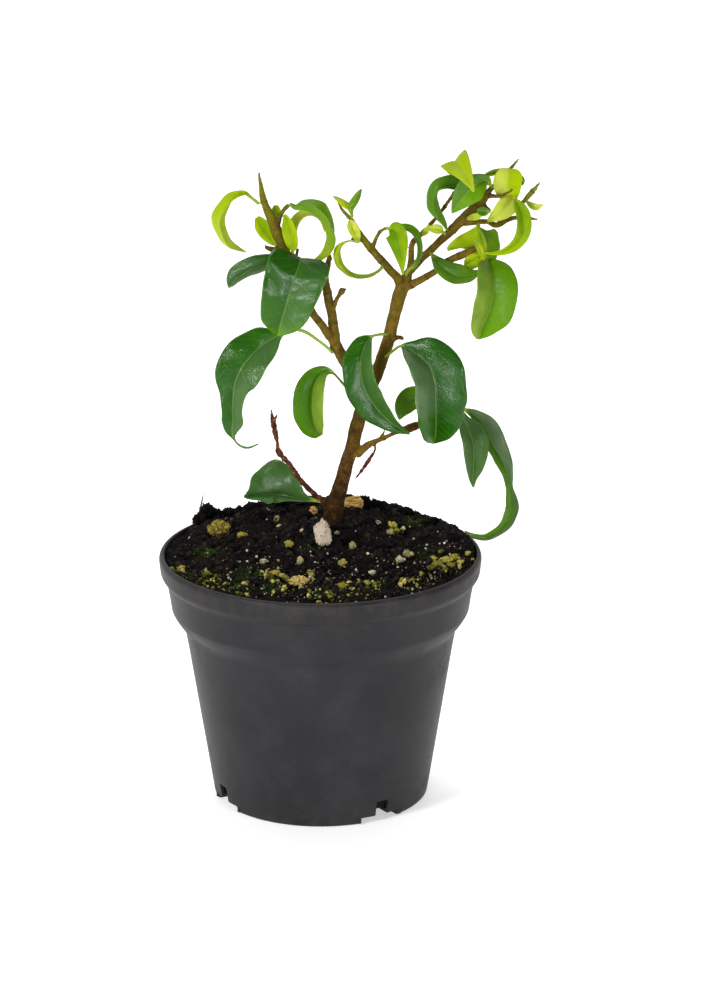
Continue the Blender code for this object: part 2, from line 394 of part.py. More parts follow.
def pot_profile():
    """Right half of the pot's section, down the outside and up the inside."""
    lip_foot = POT_HEIGHT - LIP_HEIGHT
    outside = [(RIM_RADIUS - 1.2 * MM, POT_HEIGHT), (RIM_RADIUS - 0.5 * MM, POT_HEIGHT - 0.3 * MM),
               (RIM_RADIUS, POT_HEIGHT - 1.4 * MM), (RIM_RADIUS - 0.5 * MM, lip_foot),
               (RIM_RADIUS - 1.2 * MM, lip_foot - 1.2 * MM), (RIM_RADIUS - 2.3 * MM, lip_foot - 2.1 * MM),
               (49.3 * MM, 69.0 * MM), (48.6 * MM, 64.0 * MM), (47.6 * MM, 62.2 * MM),
               (46.4 * MM, 60.4 * MM), (45.0 * MM, 58.8 * MM), (STEP_RADIUS, STEP_HEIGHT),
               (BODY_TOP_RADIUS, BODY_TOP_HEIGHT), (FOOT_RADIUS + 0.7 * MM, 5.0 * MM),
               (FOOT_RADIUS, 0.7 * MM), (FOOT_RADIUS - 0.7 * MM, 0)]
    inside = [(FOOT_RADIUS - 1.2 * MM, BASE_THICKNESS), (FOOT_RADIUS - 0.4 * MM, 5.0 * MM),
              (BODY_TOP_RADIUS - WALL, BODY_TOP_HEIGHT), (STEP_RADIUS - WALL, STEP_HEIGHT),
              (46.4 * MM - WALL, 61.0 * MM), (48.6 * MM - WALL, 65.0 * MM),
              (RIM_RADIUS - 2.3 * MM - WALL, lip_foot - 2.1 * MM), (RIM_RADIUS - 1.9 * MM, POT_HEIGHT - 1.2 * MM),
              (RIM_RADIUS - 1.7 * MM, POT_HEIGHT - 0.2 * MM)]
    return outside + [(0, 0), (0, BASE_THICKNESS)] + inside


def turned(name, profile, sides, collection, material=None):
    """A closed profile, standing at +X, turned round Z."""
    bm = bmesh.new()
    corners = [bm.verts.new((radius, 0, height)) for radius, height in profile]
    for a, b in zip(corners, corners[1:] + corners[:1]):
        if a.co.x > 0 or b.co.x > 0:
            bm.edges.new((a, b))
    obj = new_object(name, mesh_of(bm, name), collection, material)
    screw = obj.modifiers.new("turn", "SCREW")
    screw.steps = sides
    screw.render_steps = sides
    screw.use_merge_vertices = True
    screw.merge_threshold = 0.01 * MM
    screw.use_smooth_shade = True
    return obj


def radial_block(name, inner, outer, width, low, high, angle, collection):
    """A block that points outwards; angle is measured from the front, to the right."""
    bm = bmesh.new()
    bmesh.ops.create_cube(bm, size=1)
    bmesh.ops.scale(bm, vec=(width, outer - inner, high - low), verts=bm.verts)
    bmesh.ops.translate(bm, vec=(0, -(inner + outer) / 2, (low + high) / 2), verts=bm.verts)
    obj = new_object(name, mesh_of(bm, name), collection)
    obj.rotation_euler.z = math.radians(angle)
    return obj


def channel_roofs(collection, grow):
    """The raised pads over the drain channels, inside the pot, or the room they take in the soil."""
    for angle in SLOT_ANGLES:
        radial_block(f"roof_{angle}", CHANNEL_INNER_RADIUS - WALL - grow, FOOT_RADIUS - 0.6 * MM + grow,
                     CHANNEL_WIDTH + 2 * (WALL + grow), 0.5 * MM, CHANNEL_HEIGHT + WALL + grow,
                     angle, collection)


def make_pot(collection, material, cutters):
    pot = turned("pot", pot_profile(), POT_SIDES, collection, material)
    roofs = new_collection("pot_roofs")
    channel_roofs(roofs, 0)
    boolean(pot, "UNION", roofs)
    for angle in SLOT_ANGLES:
        radial_block(f"channel_{angle}", CHANNEL_INNER_RADIUS, FOOT_RADIUS + 5 * MM, CHANNEL_WIDTH,
                     -2 * MM, CHANNEL_HEIGHT, angle, cutters)
        radial_block(f"slot_{angle}", FOOT_RADIUS - 5 * MM, FOOT_RADIUS + 6 * MM, SLOT_WIDTH,
                     -1 * MM, SLOT_TOP, angle, cutters)
    boolean(pot, "DIFFERENCE", cutters)
    drop(roofs)
    drop(cutters)


def drop(collection):
    for obj in list(collection.objects):
        bpy.data.objects.remove(obj)
    bpy.data.collections.remove(collection)


def soil_height(x, y):
    """Height of the soil over the rim, from a heap round the trunk and gentle clods."""
    radius = math.hypot(x, y)
    out = min(radius / (RIM_RADIUS - 2 * MM), 1)
    heap = HEAP_HEIGHT * math.exp(-((x - HEAP_AT[0]) ** 2 + (y - HEAP_AT[1]) ** 2) / HEAP_SPREAD ** 2)
    clod = CLOD_HEIGHT * math.exp(-((x - CLOD_AT[0]) ** 2 + (y - CLOD_AT[1]) ** 2) / CLOD_SPREAD ** 2)
    lumps = LUMP_HEIGHT * noise.noise(Vector((x, y, 0)) / LUMP_SIZE)
    back = 1.0 * MM * max(y / RIM_RADIUS, -0.3)
    return -SOIL_EDGE_DROP + back + (heap + clod + lumps) * (1 - out ** 6) + 0.5 * MM * (1 - out ** 2)


def make_soil(collection, material, cutters):
    low = BASE_THICKNESS + GAP
    top_radius = RIM_RADIUS - 2.3 * MM - GAP
    wall = [(FOOT_RADIUS - 1.2 * MM - GAP, low), (FOOT_RADIUS - 0.4 * MM - GAP, 5.0 * MM),
            (BODY_TOP_RADIUS - WALL - GAP, BODY_TOP_HEIGHT), (STEP_RADIUS - WALL - GAP, STEP_HEIGHT),
            (46.2 * MM - WALL - GAP, 61.2 * MM), (48.4 * MM - WALL - GAP, 65.4 * MM),
            (RIM_RADIUS - 2.6 * MM - WALL - GAP, POT_HEIGHT - 8.1 * MM)]
    rings = [(top_radius * ring / SOIL_RINGS, POT_HEIGHT) for ring in range(SOIL_RINGS + 1)]
    soil = turned("soil", rings + wall[::-1] + [(0, low)], POT_SIDES, collection, material)
    old = soil.data
    soil.data = bpy.data.meshes.new_from_object(
        soil.evaluated_get(bpy.context.evaluated_depsgraph_get()))
    soil.modifiers.clear()
    bpy.data.meshes.remove(old)
    for vertex in soil.data.vertices:
        if vertex.co.z > POT_HEIGHT - MM:
            vertex.co.z = POT_HEIGHT + soil_height(vertex.co.x, vertex.co.y)
    channel_roofs(cutters, GAP)
    boolean(soil, "DIFFERENCE", cutters)


def limb(name, rows, collection, grow=0.0):
    """A tapered round branch along its rows, with closed ends."""
    curve = bpy.data.curves.new(name, "CURVE")
    curve.dimensions = "3D"
    curve.bevel_depth = 1 * MM
    curve.bevel_resolution = 2
    curve.use_fill_caps = True
    spline = curve.splines.new("POLY")
    length = sum((seen(*b[:3]) - seen(*a[:3])).length for a, b in zip(rows, rows[1:]))
    smooth = even_rows(rows, max(4, round(length / LIMB_STATION) + 1))
    spline.points.add(len(smooth) - 1)
    for point, row in zip(spline.points, smooth):
        point.co = (*seen(*row[:3]), 1)
        point.radius = row[3] + grow
    guide = new_object(name, curve, collection)
    mesh = bpy.data.meshes.new_from_object(
        guide.evaluated_get(bpy.context.evaluated_depsgraph_get()))
    bpy.data.objects.remove(guide)
    bm = bmesh.new()
    bm.from_mesh(mesh)
    bmesh.ops.remove_doubles(bm, verts=bm.verts, dist=0.001 * MM)
    bmesh.ops.recalc_face_normals(bm, faces=bm.faces)
    bm.to_mesh(mesh)
    bm.free()
    return new_object(name, mesh, collection)


def buried_foot(deeper=0.0):
    """The trunk's lowest rows: its flared foot, and the length of it that the soil hides."""
    foot = LIMBS["trunk"][0]
    return ((1.6, foot[1] - (ROOT_DEPTH + deeper) / MM, 0, 1.8), (2.6, foot[1] - 12, 0, 3.0),
            (3.4, foot[1] - 4, 0, 3.2))


def make_wood(collection, material, cutters):
    wood = limb("trunk_and_branches", buried_foot() + LIMBS["trunk"], collection)
    wood.data.materials.append(material)
    limb("trunk_socket", buried_foot(2 * GAP) + LIMBS["trunk"], cutters, GAP / MM)
    limbs = new_collection("limbs")
    for name, rows in LIMBS.items():
        if name != "trunk":
            limb(name, rows, limbs)
    boolean(wood, "UNION", limbs)
    drop(limbs)
    wood.data.shade_smooth()


def blade_frames(points, rolls, widths, facing):
    """For each station along a leaf, its side and its upper face, carried along without twist."""
    last = len(points) - 1
    along = [(points[min(i + 1, last)] - points[max(i - 1, 0)]).normalized() for i in range(last + 1)]
    widest = widths.index(max(widths))
    up = [None] * (last + 1)
    up[widest] = facing or EYE - points[widest]
    for i in list(range(widest + 1, last + 1)) + list(range(widest - 1, -1, -1)):
        carried = up[i - 1] if i > widest else up[i + 1]
        up[i] = (carried - along[i] * carried.dot(along[i])).normalized()
    up[widest] = (up[widest] - along[widest] * up[widest].dot(along[widest])).normalized()
    frames = []
    for forward, face, roll in zip(along, up, rolls):
        side = forward.cross(face)
        turn = math.radians(roll)
        rolled = side * math.cos(turn) + face * math.sin(turn)
        frames.append((forward, rolled, rolled.cross(forward)))
    return frames


def make_leaf(name, collection, materials):
    kind, fold, sweep, rows = LEAVES[name]
    stations = even_rows(rows, max(LEAF_STATIONS, len(rows) + 1))
    points = [seen(*row[:3]) for row in stations]
    widths = [max(row[3], 0.25) * MM for row in stations]
    facing = across_view(LEAF_FACING[name]) if name in LEAF_FACING else None
    frames = blade_frames(points, [row[4] for row in stations], widths, facing)
    rise = math.radians(fold)
    bm = bmesh.new()
    bmesh.ops.create_grid(bm, x_segments=len(stations) - 1, y_segments=LEAF_LANES, size=0.5)
    for vertex in bm.verts:
        i = round((vertex.co.x + 0.5) * (len(stations) - 1))
        across = vertex.co.y * 2
        forward, side, face = frames[i]
        reach = widths[i]
        vertex.co = (points[i] - side * across * reach * math.cos(rise)
                     + face * abs(across) * reach * math.sin(rise)
                     - forward * across * across * reach * sweep)
    bmesh.ops.triangulate(bm, faces=bm.faces)
    leaf = new_object(name, mesh_of(bm, name), collection, materials[kind])
    wall = leaf.modifiers.new("thickness", "SOLIDIFY")
    wall.thickness = LEAF_THICKNESS
    wall.offset = 0
    leaf.data.shade_smooth()


def lump(name, place, half_sizes, turn, seed, collection, grow=0.0):
    """A rough pebble or chip: a ball pulled to size and dented."""
    bm = bmesh.new()
    bmesh.ops.create_icosphere(bm, subdivisions=2, radius=1)
    for vertex in bm.verts:
        dent = 1 + 0.22 * noise.noise(vertex.co * 1.3 + Vector((seed, 0, 0)))
        vertex.co = Vector([c * (size + grow) for c, size in zip(vertex.co * dent, half_sizes)]) * MM
    obj = new_object(name, mesh_of(bm, name), collection)
    obj.location = Vector(place) * MM + RIM_MIDDLE
    obj.rotation_euler.z = math.radians(turn)
    return obj


def make_loose(collection, materials, cutters):
    for name, (kind, place, half_sizes, turn, seed) in LOOSE.items():
        piece = lump(name, place, half_sizes, turn, seed, collection)
        piece.data.materials.append(materials[kind])
        lump(f"{name}_hollow", place, half_sizes, turn, seed, cutters, 1.3 * GAP / MM)


def main():
    remove_everything()
    parts = new_collection("potted_ficus_bonsai")
    materials = {name: new_material(name, *look) for name, look in COLOURS.items()}
    make_pot(parts, materials["pot_plastic"], new_collection("pot_cutters"))
    soil_cutters = new_collection("soil_cutters")
    make_wood(parts, materials["bark"], soil_cutters)
    make_loose(parts, materials, soil_cutters)
    make_soil(parts, materials["soil"], soil_cutters)
    for cutter in soil_cutters.objects:
        as_cutter(cutter)
    for name in LEAVES:
        make_leaf(name, parts, materials)


main()
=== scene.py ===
"""The finish of a small curly-leaved ficus bonsai in a round nursery pot.

Metres, +Z up, front at -Y. The plant was drawn from the front, looking down at VIEW_TILT from
VIEW_DISTANCE away. A row of a branch or leaf starts with how far right and how far up of the
rim's middle the point is seen, and how far nearer than the trunk it stands, all in mm.
"""
import json
import math
import random
from collections import namedtuple

import bmesh
import bpy
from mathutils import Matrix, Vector, noise
from mathutils.kdtree import KDTree

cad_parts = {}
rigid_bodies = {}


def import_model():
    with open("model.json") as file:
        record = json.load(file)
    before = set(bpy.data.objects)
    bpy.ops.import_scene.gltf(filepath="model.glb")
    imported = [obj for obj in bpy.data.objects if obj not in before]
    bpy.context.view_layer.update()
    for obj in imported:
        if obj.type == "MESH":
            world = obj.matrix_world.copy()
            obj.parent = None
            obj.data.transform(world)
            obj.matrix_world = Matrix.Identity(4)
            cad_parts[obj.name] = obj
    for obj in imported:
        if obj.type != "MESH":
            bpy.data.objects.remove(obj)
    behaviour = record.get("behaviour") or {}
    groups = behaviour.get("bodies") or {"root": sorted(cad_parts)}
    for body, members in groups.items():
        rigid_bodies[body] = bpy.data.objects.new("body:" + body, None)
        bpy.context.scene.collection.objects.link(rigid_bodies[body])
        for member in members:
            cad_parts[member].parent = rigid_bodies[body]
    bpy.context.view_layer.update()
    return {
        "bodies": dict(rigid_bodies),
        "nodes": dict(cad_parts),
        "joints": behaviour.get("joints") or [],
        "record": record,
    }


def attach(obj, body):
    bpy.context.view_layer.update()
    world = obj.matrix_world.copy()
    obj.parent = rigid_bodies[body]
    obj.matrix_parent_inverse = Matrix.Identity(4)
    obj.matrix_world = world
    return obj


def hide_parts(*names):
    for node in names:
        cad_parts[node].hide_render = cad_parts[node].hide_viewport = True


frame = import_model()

MM = 0.001
GAP = 0.3 * MM
# Vector noise is otherwise seeded by the clock, and each run would shape the soil anew
NOISE_SEED = 5

# The photograph: its height in pixels and its scale at the rim's middle
PHOTO_HEIGHT = 988
PIXELS_PER_MM = 3.07

# The front view that the plant was drawn from
VIEW_TILT = math.radians(17.7)
VIEW_DISTANCE = 1300 * MM
VIEW_AIM_RIGHT = 12.4 * MM
VIEW_AIM_UP = 18.7 * MM

# Camera and light. The white wall behind the pot has the strength 1, the room before it FRONT_LIGHT.
SENSOR = 36.0
CLOSEST_SHOWN = 0.05
FARTHEST_SHOWN = 20
FLOOR_HALF = 4
FLOOR_WHITE = (0.93, 0.93, 0.93, 1)
FLOOR_GLOW = 0.45
WHITE = (1, 1, 1, 1)
FRONT_LIGHT = 0.24
LIGHT_AIM = Vector((0.01, 0.016, 0.12))
# Each light: place, width and height, power in watts
STUDIO_LIGHTS = {
    "key_left_front": ((-1.00, -0.92, 0.72), (0.32, 0.26), 14),
    "low_right_front": ((0.80, -0.84, 0.14), (0.20, 0.16), 6),
    "low_front": ((-0.32, -0.96, 0.07), (0.28, 0.10), 4),
    "top_back": ((0.0, 0.45, 1.35), (0.7, 0.5), 9),
}

# Pot
POT_HEIGHT = 82.5 * MM
RIM_RADIUS = 52.6 * MM
LIP_HEIGHT = 6.0 * MM
LIP_FOOT = POT_HEIGHT - LIP_HEIGHT
STEP_HEIGHT = 57.0 * MM
STEP_RADIUS = 44.3 * MM
BODY_TOP_RADIUS = 43.4 * MM
BODY_TOP_HEIGHT = 52.0 * MM
FOOT_RADIUS = 35.2 * MM
FOOT_HEIGHT = 5.0 * MM
WALL = 1.0 * MM
BASE_THICKNESS = 1.2 * MM
POT_SIDES = 256
CORNER = 0.8 * MM
SHARP_ANGLE = math.radians(40)
SLOT_ANGLES = (-62, 34, 118, 208)
SLOT_WIDTH = 4.5 * MM
SLOT_TOP = 7.3 * MM
CHANNEL_WIDTH = 14.5 * MM
CHANNEL_HEIGHT = 2.3 * MM
CHANNEL_INNER_RADIUS = 25.0 * MM
POT_DARK = (0.0105, 0.0105, 0.012)
POT_LIGHT = (0.0155, 0.0155, 0.0175)
POT_DUST = (0.055, 0.054, 0.055)
POT_SOIL = (0.036, 0.025, 0.018)
POT_SPECKS = (0.34, 0.31, 0.27)

# Soil
SOIL_RADIUS = RIM_RADIUS - 2 * MM
SOIL_EDGE_DROP = 1.2 * MM
HEAP_HEIGHT = 7.0 * MM
HEAP_SPREAD = 20.0 * MM
HEAP_AT = (3 * MM, 24 * MM)
CLOD_HEIGHT = 4.0 * MM
CLOD_SPREAD = 5.0 * MM
CLOD_AT = (-36 * MM, 28 * MM)
LUMP_HEIGHT = 0.9 * MM
LUMP_SIZE = 7.0 * MM
BANK_HEIGHT = 3.0 * MM
SOIL_CELLS = 290
# Crumbs of the soil's own relief: size and height in mm
SOIL_CRUMBS = ((7.0, 2.2), (3.0, 1.5), (1.3, 0.7))
# Where the soil has slumped: place, spread and depth in mm
SOIL_HOLLOWS = (((-33.5, 34.0), 7.5, 3.0), ((36.0, 29.0), 15.0, 1.7))
STREWN_ABOVE = POT_HEIGHT - 4 * MM
FIBRES = 46
FIBRE_STEPS = 7
FIBRE_STEP = 1.1 * MM

# Grains strewn over the soil: slot, look, and one value for each of STREWN_INPUTS
STREWN_INPUTS = ("Lumps Per Square Metre", "Smallest", "Largest", "Few Large", "Flatness", "Bend",
                 "Sides", "Seed")
STREWN = {
    "peat_crumbs": ("soil", "peat_lumps", (300e3, 0.2 * MM, 1.4 * MM, 4.0, 0.6, 2.4, 6, 3)),
    "perlite_specks": ("crumb", "perlite", (210e3, 0.12 * MM, 0.65 * MM, 3.0, 0.7, 1.6, 5, 5)),
    "moss_specks": ("crumb", "moss", (1500e3, 0.12 * MM, 0.45 * MM, 2.0, 0.7, 1.6, 5, 8)),
    "crust_specks": ("crumb", "crust", (800e3, 0.15 * MM, 1.3 * MM, 2.8, 0.6, 1.6, 5, 11)),
}

# Colour ramps, each from dark or old to bright or young
BARK_COLOURS = ((0.0, (0.020, 0.009, 0.002)), (0.12, (0.085, 0.042, 0.007)), (0.30, (0.155, 0.098, 0.011)),
                (0.50, (0.095, 0.066, 0.005)), (0.70, (0.130, 0.122, 0.006)), (1.0, (0.24, 0.29, 0.014)))
DEAD_COLOURS = ((0.34, (0.030, 0.007, 0.004)), (0.55, (0.10, 0.028, 0.012)), (0.72, (0.34, 0.19, 0.09)))
RING_COLOUR = (0.045, 0.022, 0.007)
PORE_COLOUR = (0.32, 0.22, 0.07)
# The dark of the bark's crevices: partly their own colour, partly painted shade in the grooves
BARK_CREVICE_DARK_AND_SHADE = (0.018, 0.010, 0.004)
PEAT_COLOURS = ((0.32, (0.0028, 0.0024, 0.003)), (0.5, (0.0062, 0.0049, 0.0050)),
                (0.60, (0.018, 0.012, 0.010)), (0.72, (0.045, 0.033, 0.027)))
PEAT_DOTS = (0.085, 0.065, 0.055)
PEAT_MOSS = (0.030, 0.070, 0.006)
CHIP_COLOURS = ((0.34, (0.07, 0.03, 0.008)), (0.46, (0.36, 0.19, 0.035)),
                (0.58, (0.66, 0.42, 0.12)), (0.75, (0.80, 0.62, 0.26)))
# The dark of pits, and the painted shade in the crevices between a lump's lobes
PIT_DARK_AND_CREVICE_SHADE = (0.04, 0.03, 0.02)

# Dry crumbs and stones: material name, size of their pits, colour ramp
CRUMB_LOOKS = {
    "stone": ("pale_stone", 1.7 * MM,
              ((0.25, (0.20, 0.15, 0.11)), (0.5, (0.52, 0.44, 0.34)), (0.75, (0.78, 0.71, 0.62)))),
    "crumb": ("crumbly_yellow", 0.8 * MM,
              ((0.3, (0.030, 0.024, 0.003)), (0.5, (0.20, 0.15, 0.018)), (0.68, (0.60, 0.50, 0.10)))),
    "crumbs_bright": ("bright_crumbs", 0.8 * MM,
                      ((0.25, (0.22, 0.14, 0.03)), (0.5, (0.62, 0.46, 0.13)), (0.75, (0.84, 0.72, 0.36)))),
    "crumbs_cream": ("cream_crumbs", 0.8 * MM,
                     ((0.2, (0.20, 0.16, 0.05)), (0.5, (0.52, 0.46, 0.22)), (0.8, (0.80, 0.74, 0.54)))),
    "crumbs_yellow": ("yellow_crumbs", 0.8 * MM,
                      ((0.2, (0.09, 0.09, 0.008)), (0.45, (0.33, 0.29, 0.03)), (0.8, (0.70, 0.56, 0.14)))),
    "perlite": ("perlite_grains", 0.8 * MM,
                ((0.1, (0.18, 0.15, 0.04)), (0.45, (0.40, 0.35, 0.18)), (0.9, (0.78, 0.76, 0.70)))),
    "moss": ("moss_grains", 0.8 * MM,
             ((0.2, (0.012, 0.032, 0.003)), (0.5, (0.040, 0.095, 0.007)), (0.8, (0.16, 0.20, 0.02)))),
    "crust": ("crust_grains", 0.8 * MM,
              ((0.2, (0.045, 0.050, 0.004)), (0.5, (0.20, 0.19, 0.02)), (0.8, (0.60, 0.52, 0.15)))),
    "peat_lumps": ("peat_lumps", 0.8 * MM,
                   ((0.1, (0.003, 0.0026, 0.0031)), (0.5, (0.0065, 0.005, 0.005)),
                    (0.8, (0.026, 0.018, 0.014)))),
}

# Trunk
TRUNK_Y = 16.0 * MM
ROOT_DEPTH = 26.0 * MM
LIMB_STATION = 0.5 * MM
BARK_VOXEL = 0.3 * MM
BARK_ROUGHNESS = 0.14 * MM
BUD_ROUGHNESS = 0.02 * MM
RING_DISTANCE = 5.1
RING_REACH = 0.4

# Leaves
LEAF_STATIONS = 64
LEAF_LANES = 20
LANE_POWER = 1.35
BLADE_HALF = 0.16 * MM
STALK_RADIUS = 0.5 * MM
# The stalk inside the bark: share of the way to the first station, and half width
STALK_FOOT = ((0, 0.8 * MM), (0.3, 0.66 * MM), (0.65, 0.55 * MM))
STALK_GREY = 0.3
WAX_ROUGHNESS = 0.08
VEIN_SPACING = 2.3

# Each row of a limb: right, up, near, radius, all in mm
LIMBS = {
    "trunk": ((4.0, 10.6, 0, 3.1), (4.6, 15.0, 0, 3.3), (5.9, 19.4, 0, 2.6), (10.0, 33.1, 0.5, 2.25),
              (11.9, 41.2, 1, 2.35), (15.1, 50.3, 1, 2.2), (18.7, 59.1, 0.5, 2.1),
              (22.0, 68.9, 0, 2.1), (23.6, 75.4, 0, 2.05), (26.5, 86.2, 0, 2.3)),
    "left_branch": ((14.7, 50.0, 1, 1.8), (11.2, 56.5, 3, 1.8), (7.3, 63.0, 5, 1.9),
                    (4.7, 67.3, 6, 2.0)),
    "left_front_shoot": ((5.2, 66.6, 6, 1.5), (0.5, 73.8, 8, 1.3), (-3.1, 78.7, 9, 1.3),
                         (-7.3, 87.8, 8, 1.3), (-10.9, 96.6, 6, 1.4), (-13.8, 103.1, 5, 1.9),
                         (-15.8, 108.0, 4, 1.6), (-18.1, 112.9, 4, 1.2), (-19.1, 117.7, 4, 0.8),
                         (-19.9, 123.3, 4, 0.25)),
    "left_ring_stalk": ((-14.4, 106.0, 4.5, 0.9), (-12.4, 110.6, 4, 0.7), (-10.4, 112.9, 4, 0.6)),
    "left_shoot_stub": ((-13.0, 98.4, 6, 0.9), (-16.6, 98.6, 5, 0.8), (-18.0, 99.3, 5, 0.5)),
    "left_inner_twig": ((-10.3, 94.2, 6, 0.7), (-8.3, 95.2, 4, 0.6), (-7.3, 98.6, 2, 0.5)),
    "left_back_shoot": ((4.9, 67.0, 6, 1.8), (4.1, 75.4, 5, 1.6), (2.4, 83.5, 4, 1.45),
                        (1.6, 89.4, 2.4, 1.2), (2.6, 94.2, 1.2, 0.95), (3.2, 96.8, 0.6, 0.6)),
    "left_inner_spur": ((-10.2, 97.0, 6, 0.8), (-8.2, 96.2, 6.4, 0.6), (-5.4, 94.4, 6.6, 0.5)),
    "left_back_stub": ((3.6, 78.0, 5, 1.0), (5.2, 81.6, 6, 0.75), (6.3, 83.6, 6.3, 0.7),
                       (7.0, 84.8, 6.5, 1.15), (7.4, 85.7, 6.6, 0.8)),
    "middle_shoot": ((26.5, 85.6, 0, 1.7), (25.2, 88.8, 1, 1.5), (22.0, 92.3, 3, 1.35),
                     (17.8, 97.2, 5, 1.25), (15.5, 99.8, 5, 1.2), (12.6, 103.7, 5, 1.0),
                     (10.6, 107.3, 5, 0.7), (7.3, 111.0, 5, 0.5), (5.7, 113.6, 5, 0.2)),
    "middle_stalk_arc": ((16.8, 98.6, 5, 0.8), (18.1, 102.1, 6.5, 0.6), (19.6, 104.4, 8.5, 0.55),
                         (21.6, 105.3, 9.6, 0.5)),
    "middle_bud": ((12.9, 101.6, 5, 0.6), (10.0, 101.9, 4, 0.5)),
    "right_shoot": ((26.5, 85.6, 0, 1.8), (27.8, 89.4, -1, 1.5), (30.8, 93.3, -2, 1.3),
                    (36.0, 98.2, -2, 1.25), (40.2, 102.1, -2, 1.3), (46.4, 108.3, -1, 1.7),
                    (52.6, 114.2, 0, 1.4), (55.2, 117.7, 0, 0.9), (59.5, 121.8, -1, 0.6),
                    (62.2, 125.0, -1, 0.55), (64.7, 127.8, -1, 0.15)),
    "right_side_twig": ((46.7, 106.9, -1, 1.0), (53.9, 107.4, -1, 0.8), (57.5, 106.3, -0.5, 0.9),
                        (62.4, 108.5, 0, 0.7), (68.2, 108.5, 0, 0.5), (70.7, 108.0, 0, 0.15)),
    "right_spear": ((57.8, 106.6, -0.5, 0.8), (62.2, 110.5, 1, 0.7), (65.9, 113.6, 1, 0.6),
                    (68.4, 116.6, 1, 0.85), (71.4, 120.2, 1, 0.15)),
    "right_top_twig": ((54.4, 115.9, 0, 0.8), (56.4, 115.8, 2.2, 0.65), (58.5, 115.9, 3.6, 0.6),
                       (62.6, 117.6, 4.8, 0.2)),
    "right_leaf_stalk": ((52.6, 113.6, 0, 0.7), (54.2, 112.0, 1.2, 0.5), (55.3, 110.9, 2.2, 0.4)),
    "right_back_twig": ((28.6, 88.6, -1, 1.1), (29.5, 94.3, -3.5, 1.0), (29.8, 100.0, -5, 0.9),
                        (32.6, 103.2, -5, 0.8), (35.6, 106.3, -5, 0.65), (39.6, 111.0, -5, 0.6),
                        (43.6, 117.2, -5, 0.55)),
    "right_low_shoot": ((26.9, 85.6, 0, 1.6), (31.8, 88.1, 1, 1.2), (37.6, 91.4, 2, 1.05),
                        (42.2, 94.9, 4.0, 1.15), (46.7, 96.9, 5.4, 1.25), (51.0, 98.9, 5.8, 0.9)),
    "low_branch": ((11.6, 31.5, 0.5, 1.5), (15.5, 34.6, 1, 1.15), (20.7, 37.0, 1, 0.75),
                   (24.9, 38.8, 1, 0.75), (29.2, 40.3, 1, 1.4), (34.0, 41.9, 0, 0.9),
                   (38.9, 43.5, -1, 0.8), (45.6, 45.8, -1, 0.6)),
    "low_branch_spur": ((19.3, 36.5, 1, 0.6), (20.9, 39.4, 2, 0.3)),
    "dry_bud_hanging": ((17.6, 35.6, 1, 0.5), (17.7, 33.0, 1.5, 0.45), (15.7, 29.6, 2, 0.75),
                        (13.6, 26.6, 2, 0.6), (11.2, 23.6, 2, 0.15)),
    "trunk_stub": ((22.5, 68.6, 0.5, 1.0), (25.0, 69.6, 2, 0.8), (27.0, 69.3, 3, 0.6)),
    "dead_twig": ((4.0, 14.0, 0.5, 1.4), (-2.2, 18.9, 2, 1.1), (-5.4, 21.8, 3, 1.0),
                  (-8.0, 25.4, 4, 1.0), (-10.3, 28.6, 4.5, 0.9), (-13.5, 32.2, 5, 1.15),
                  (-14.0, 35.2, 5, 0.6), (-14.7, 38.5, 5, 1.05), (-15.5, 42.6, 5, 0.9),
                  (-16.1, 46.2, 5, 0.2)),
    "dead_twig_fork": ((-15.3, 41.6, 5, 0.7), (-14.0, 44.6, 5.5, 0.35)),
}

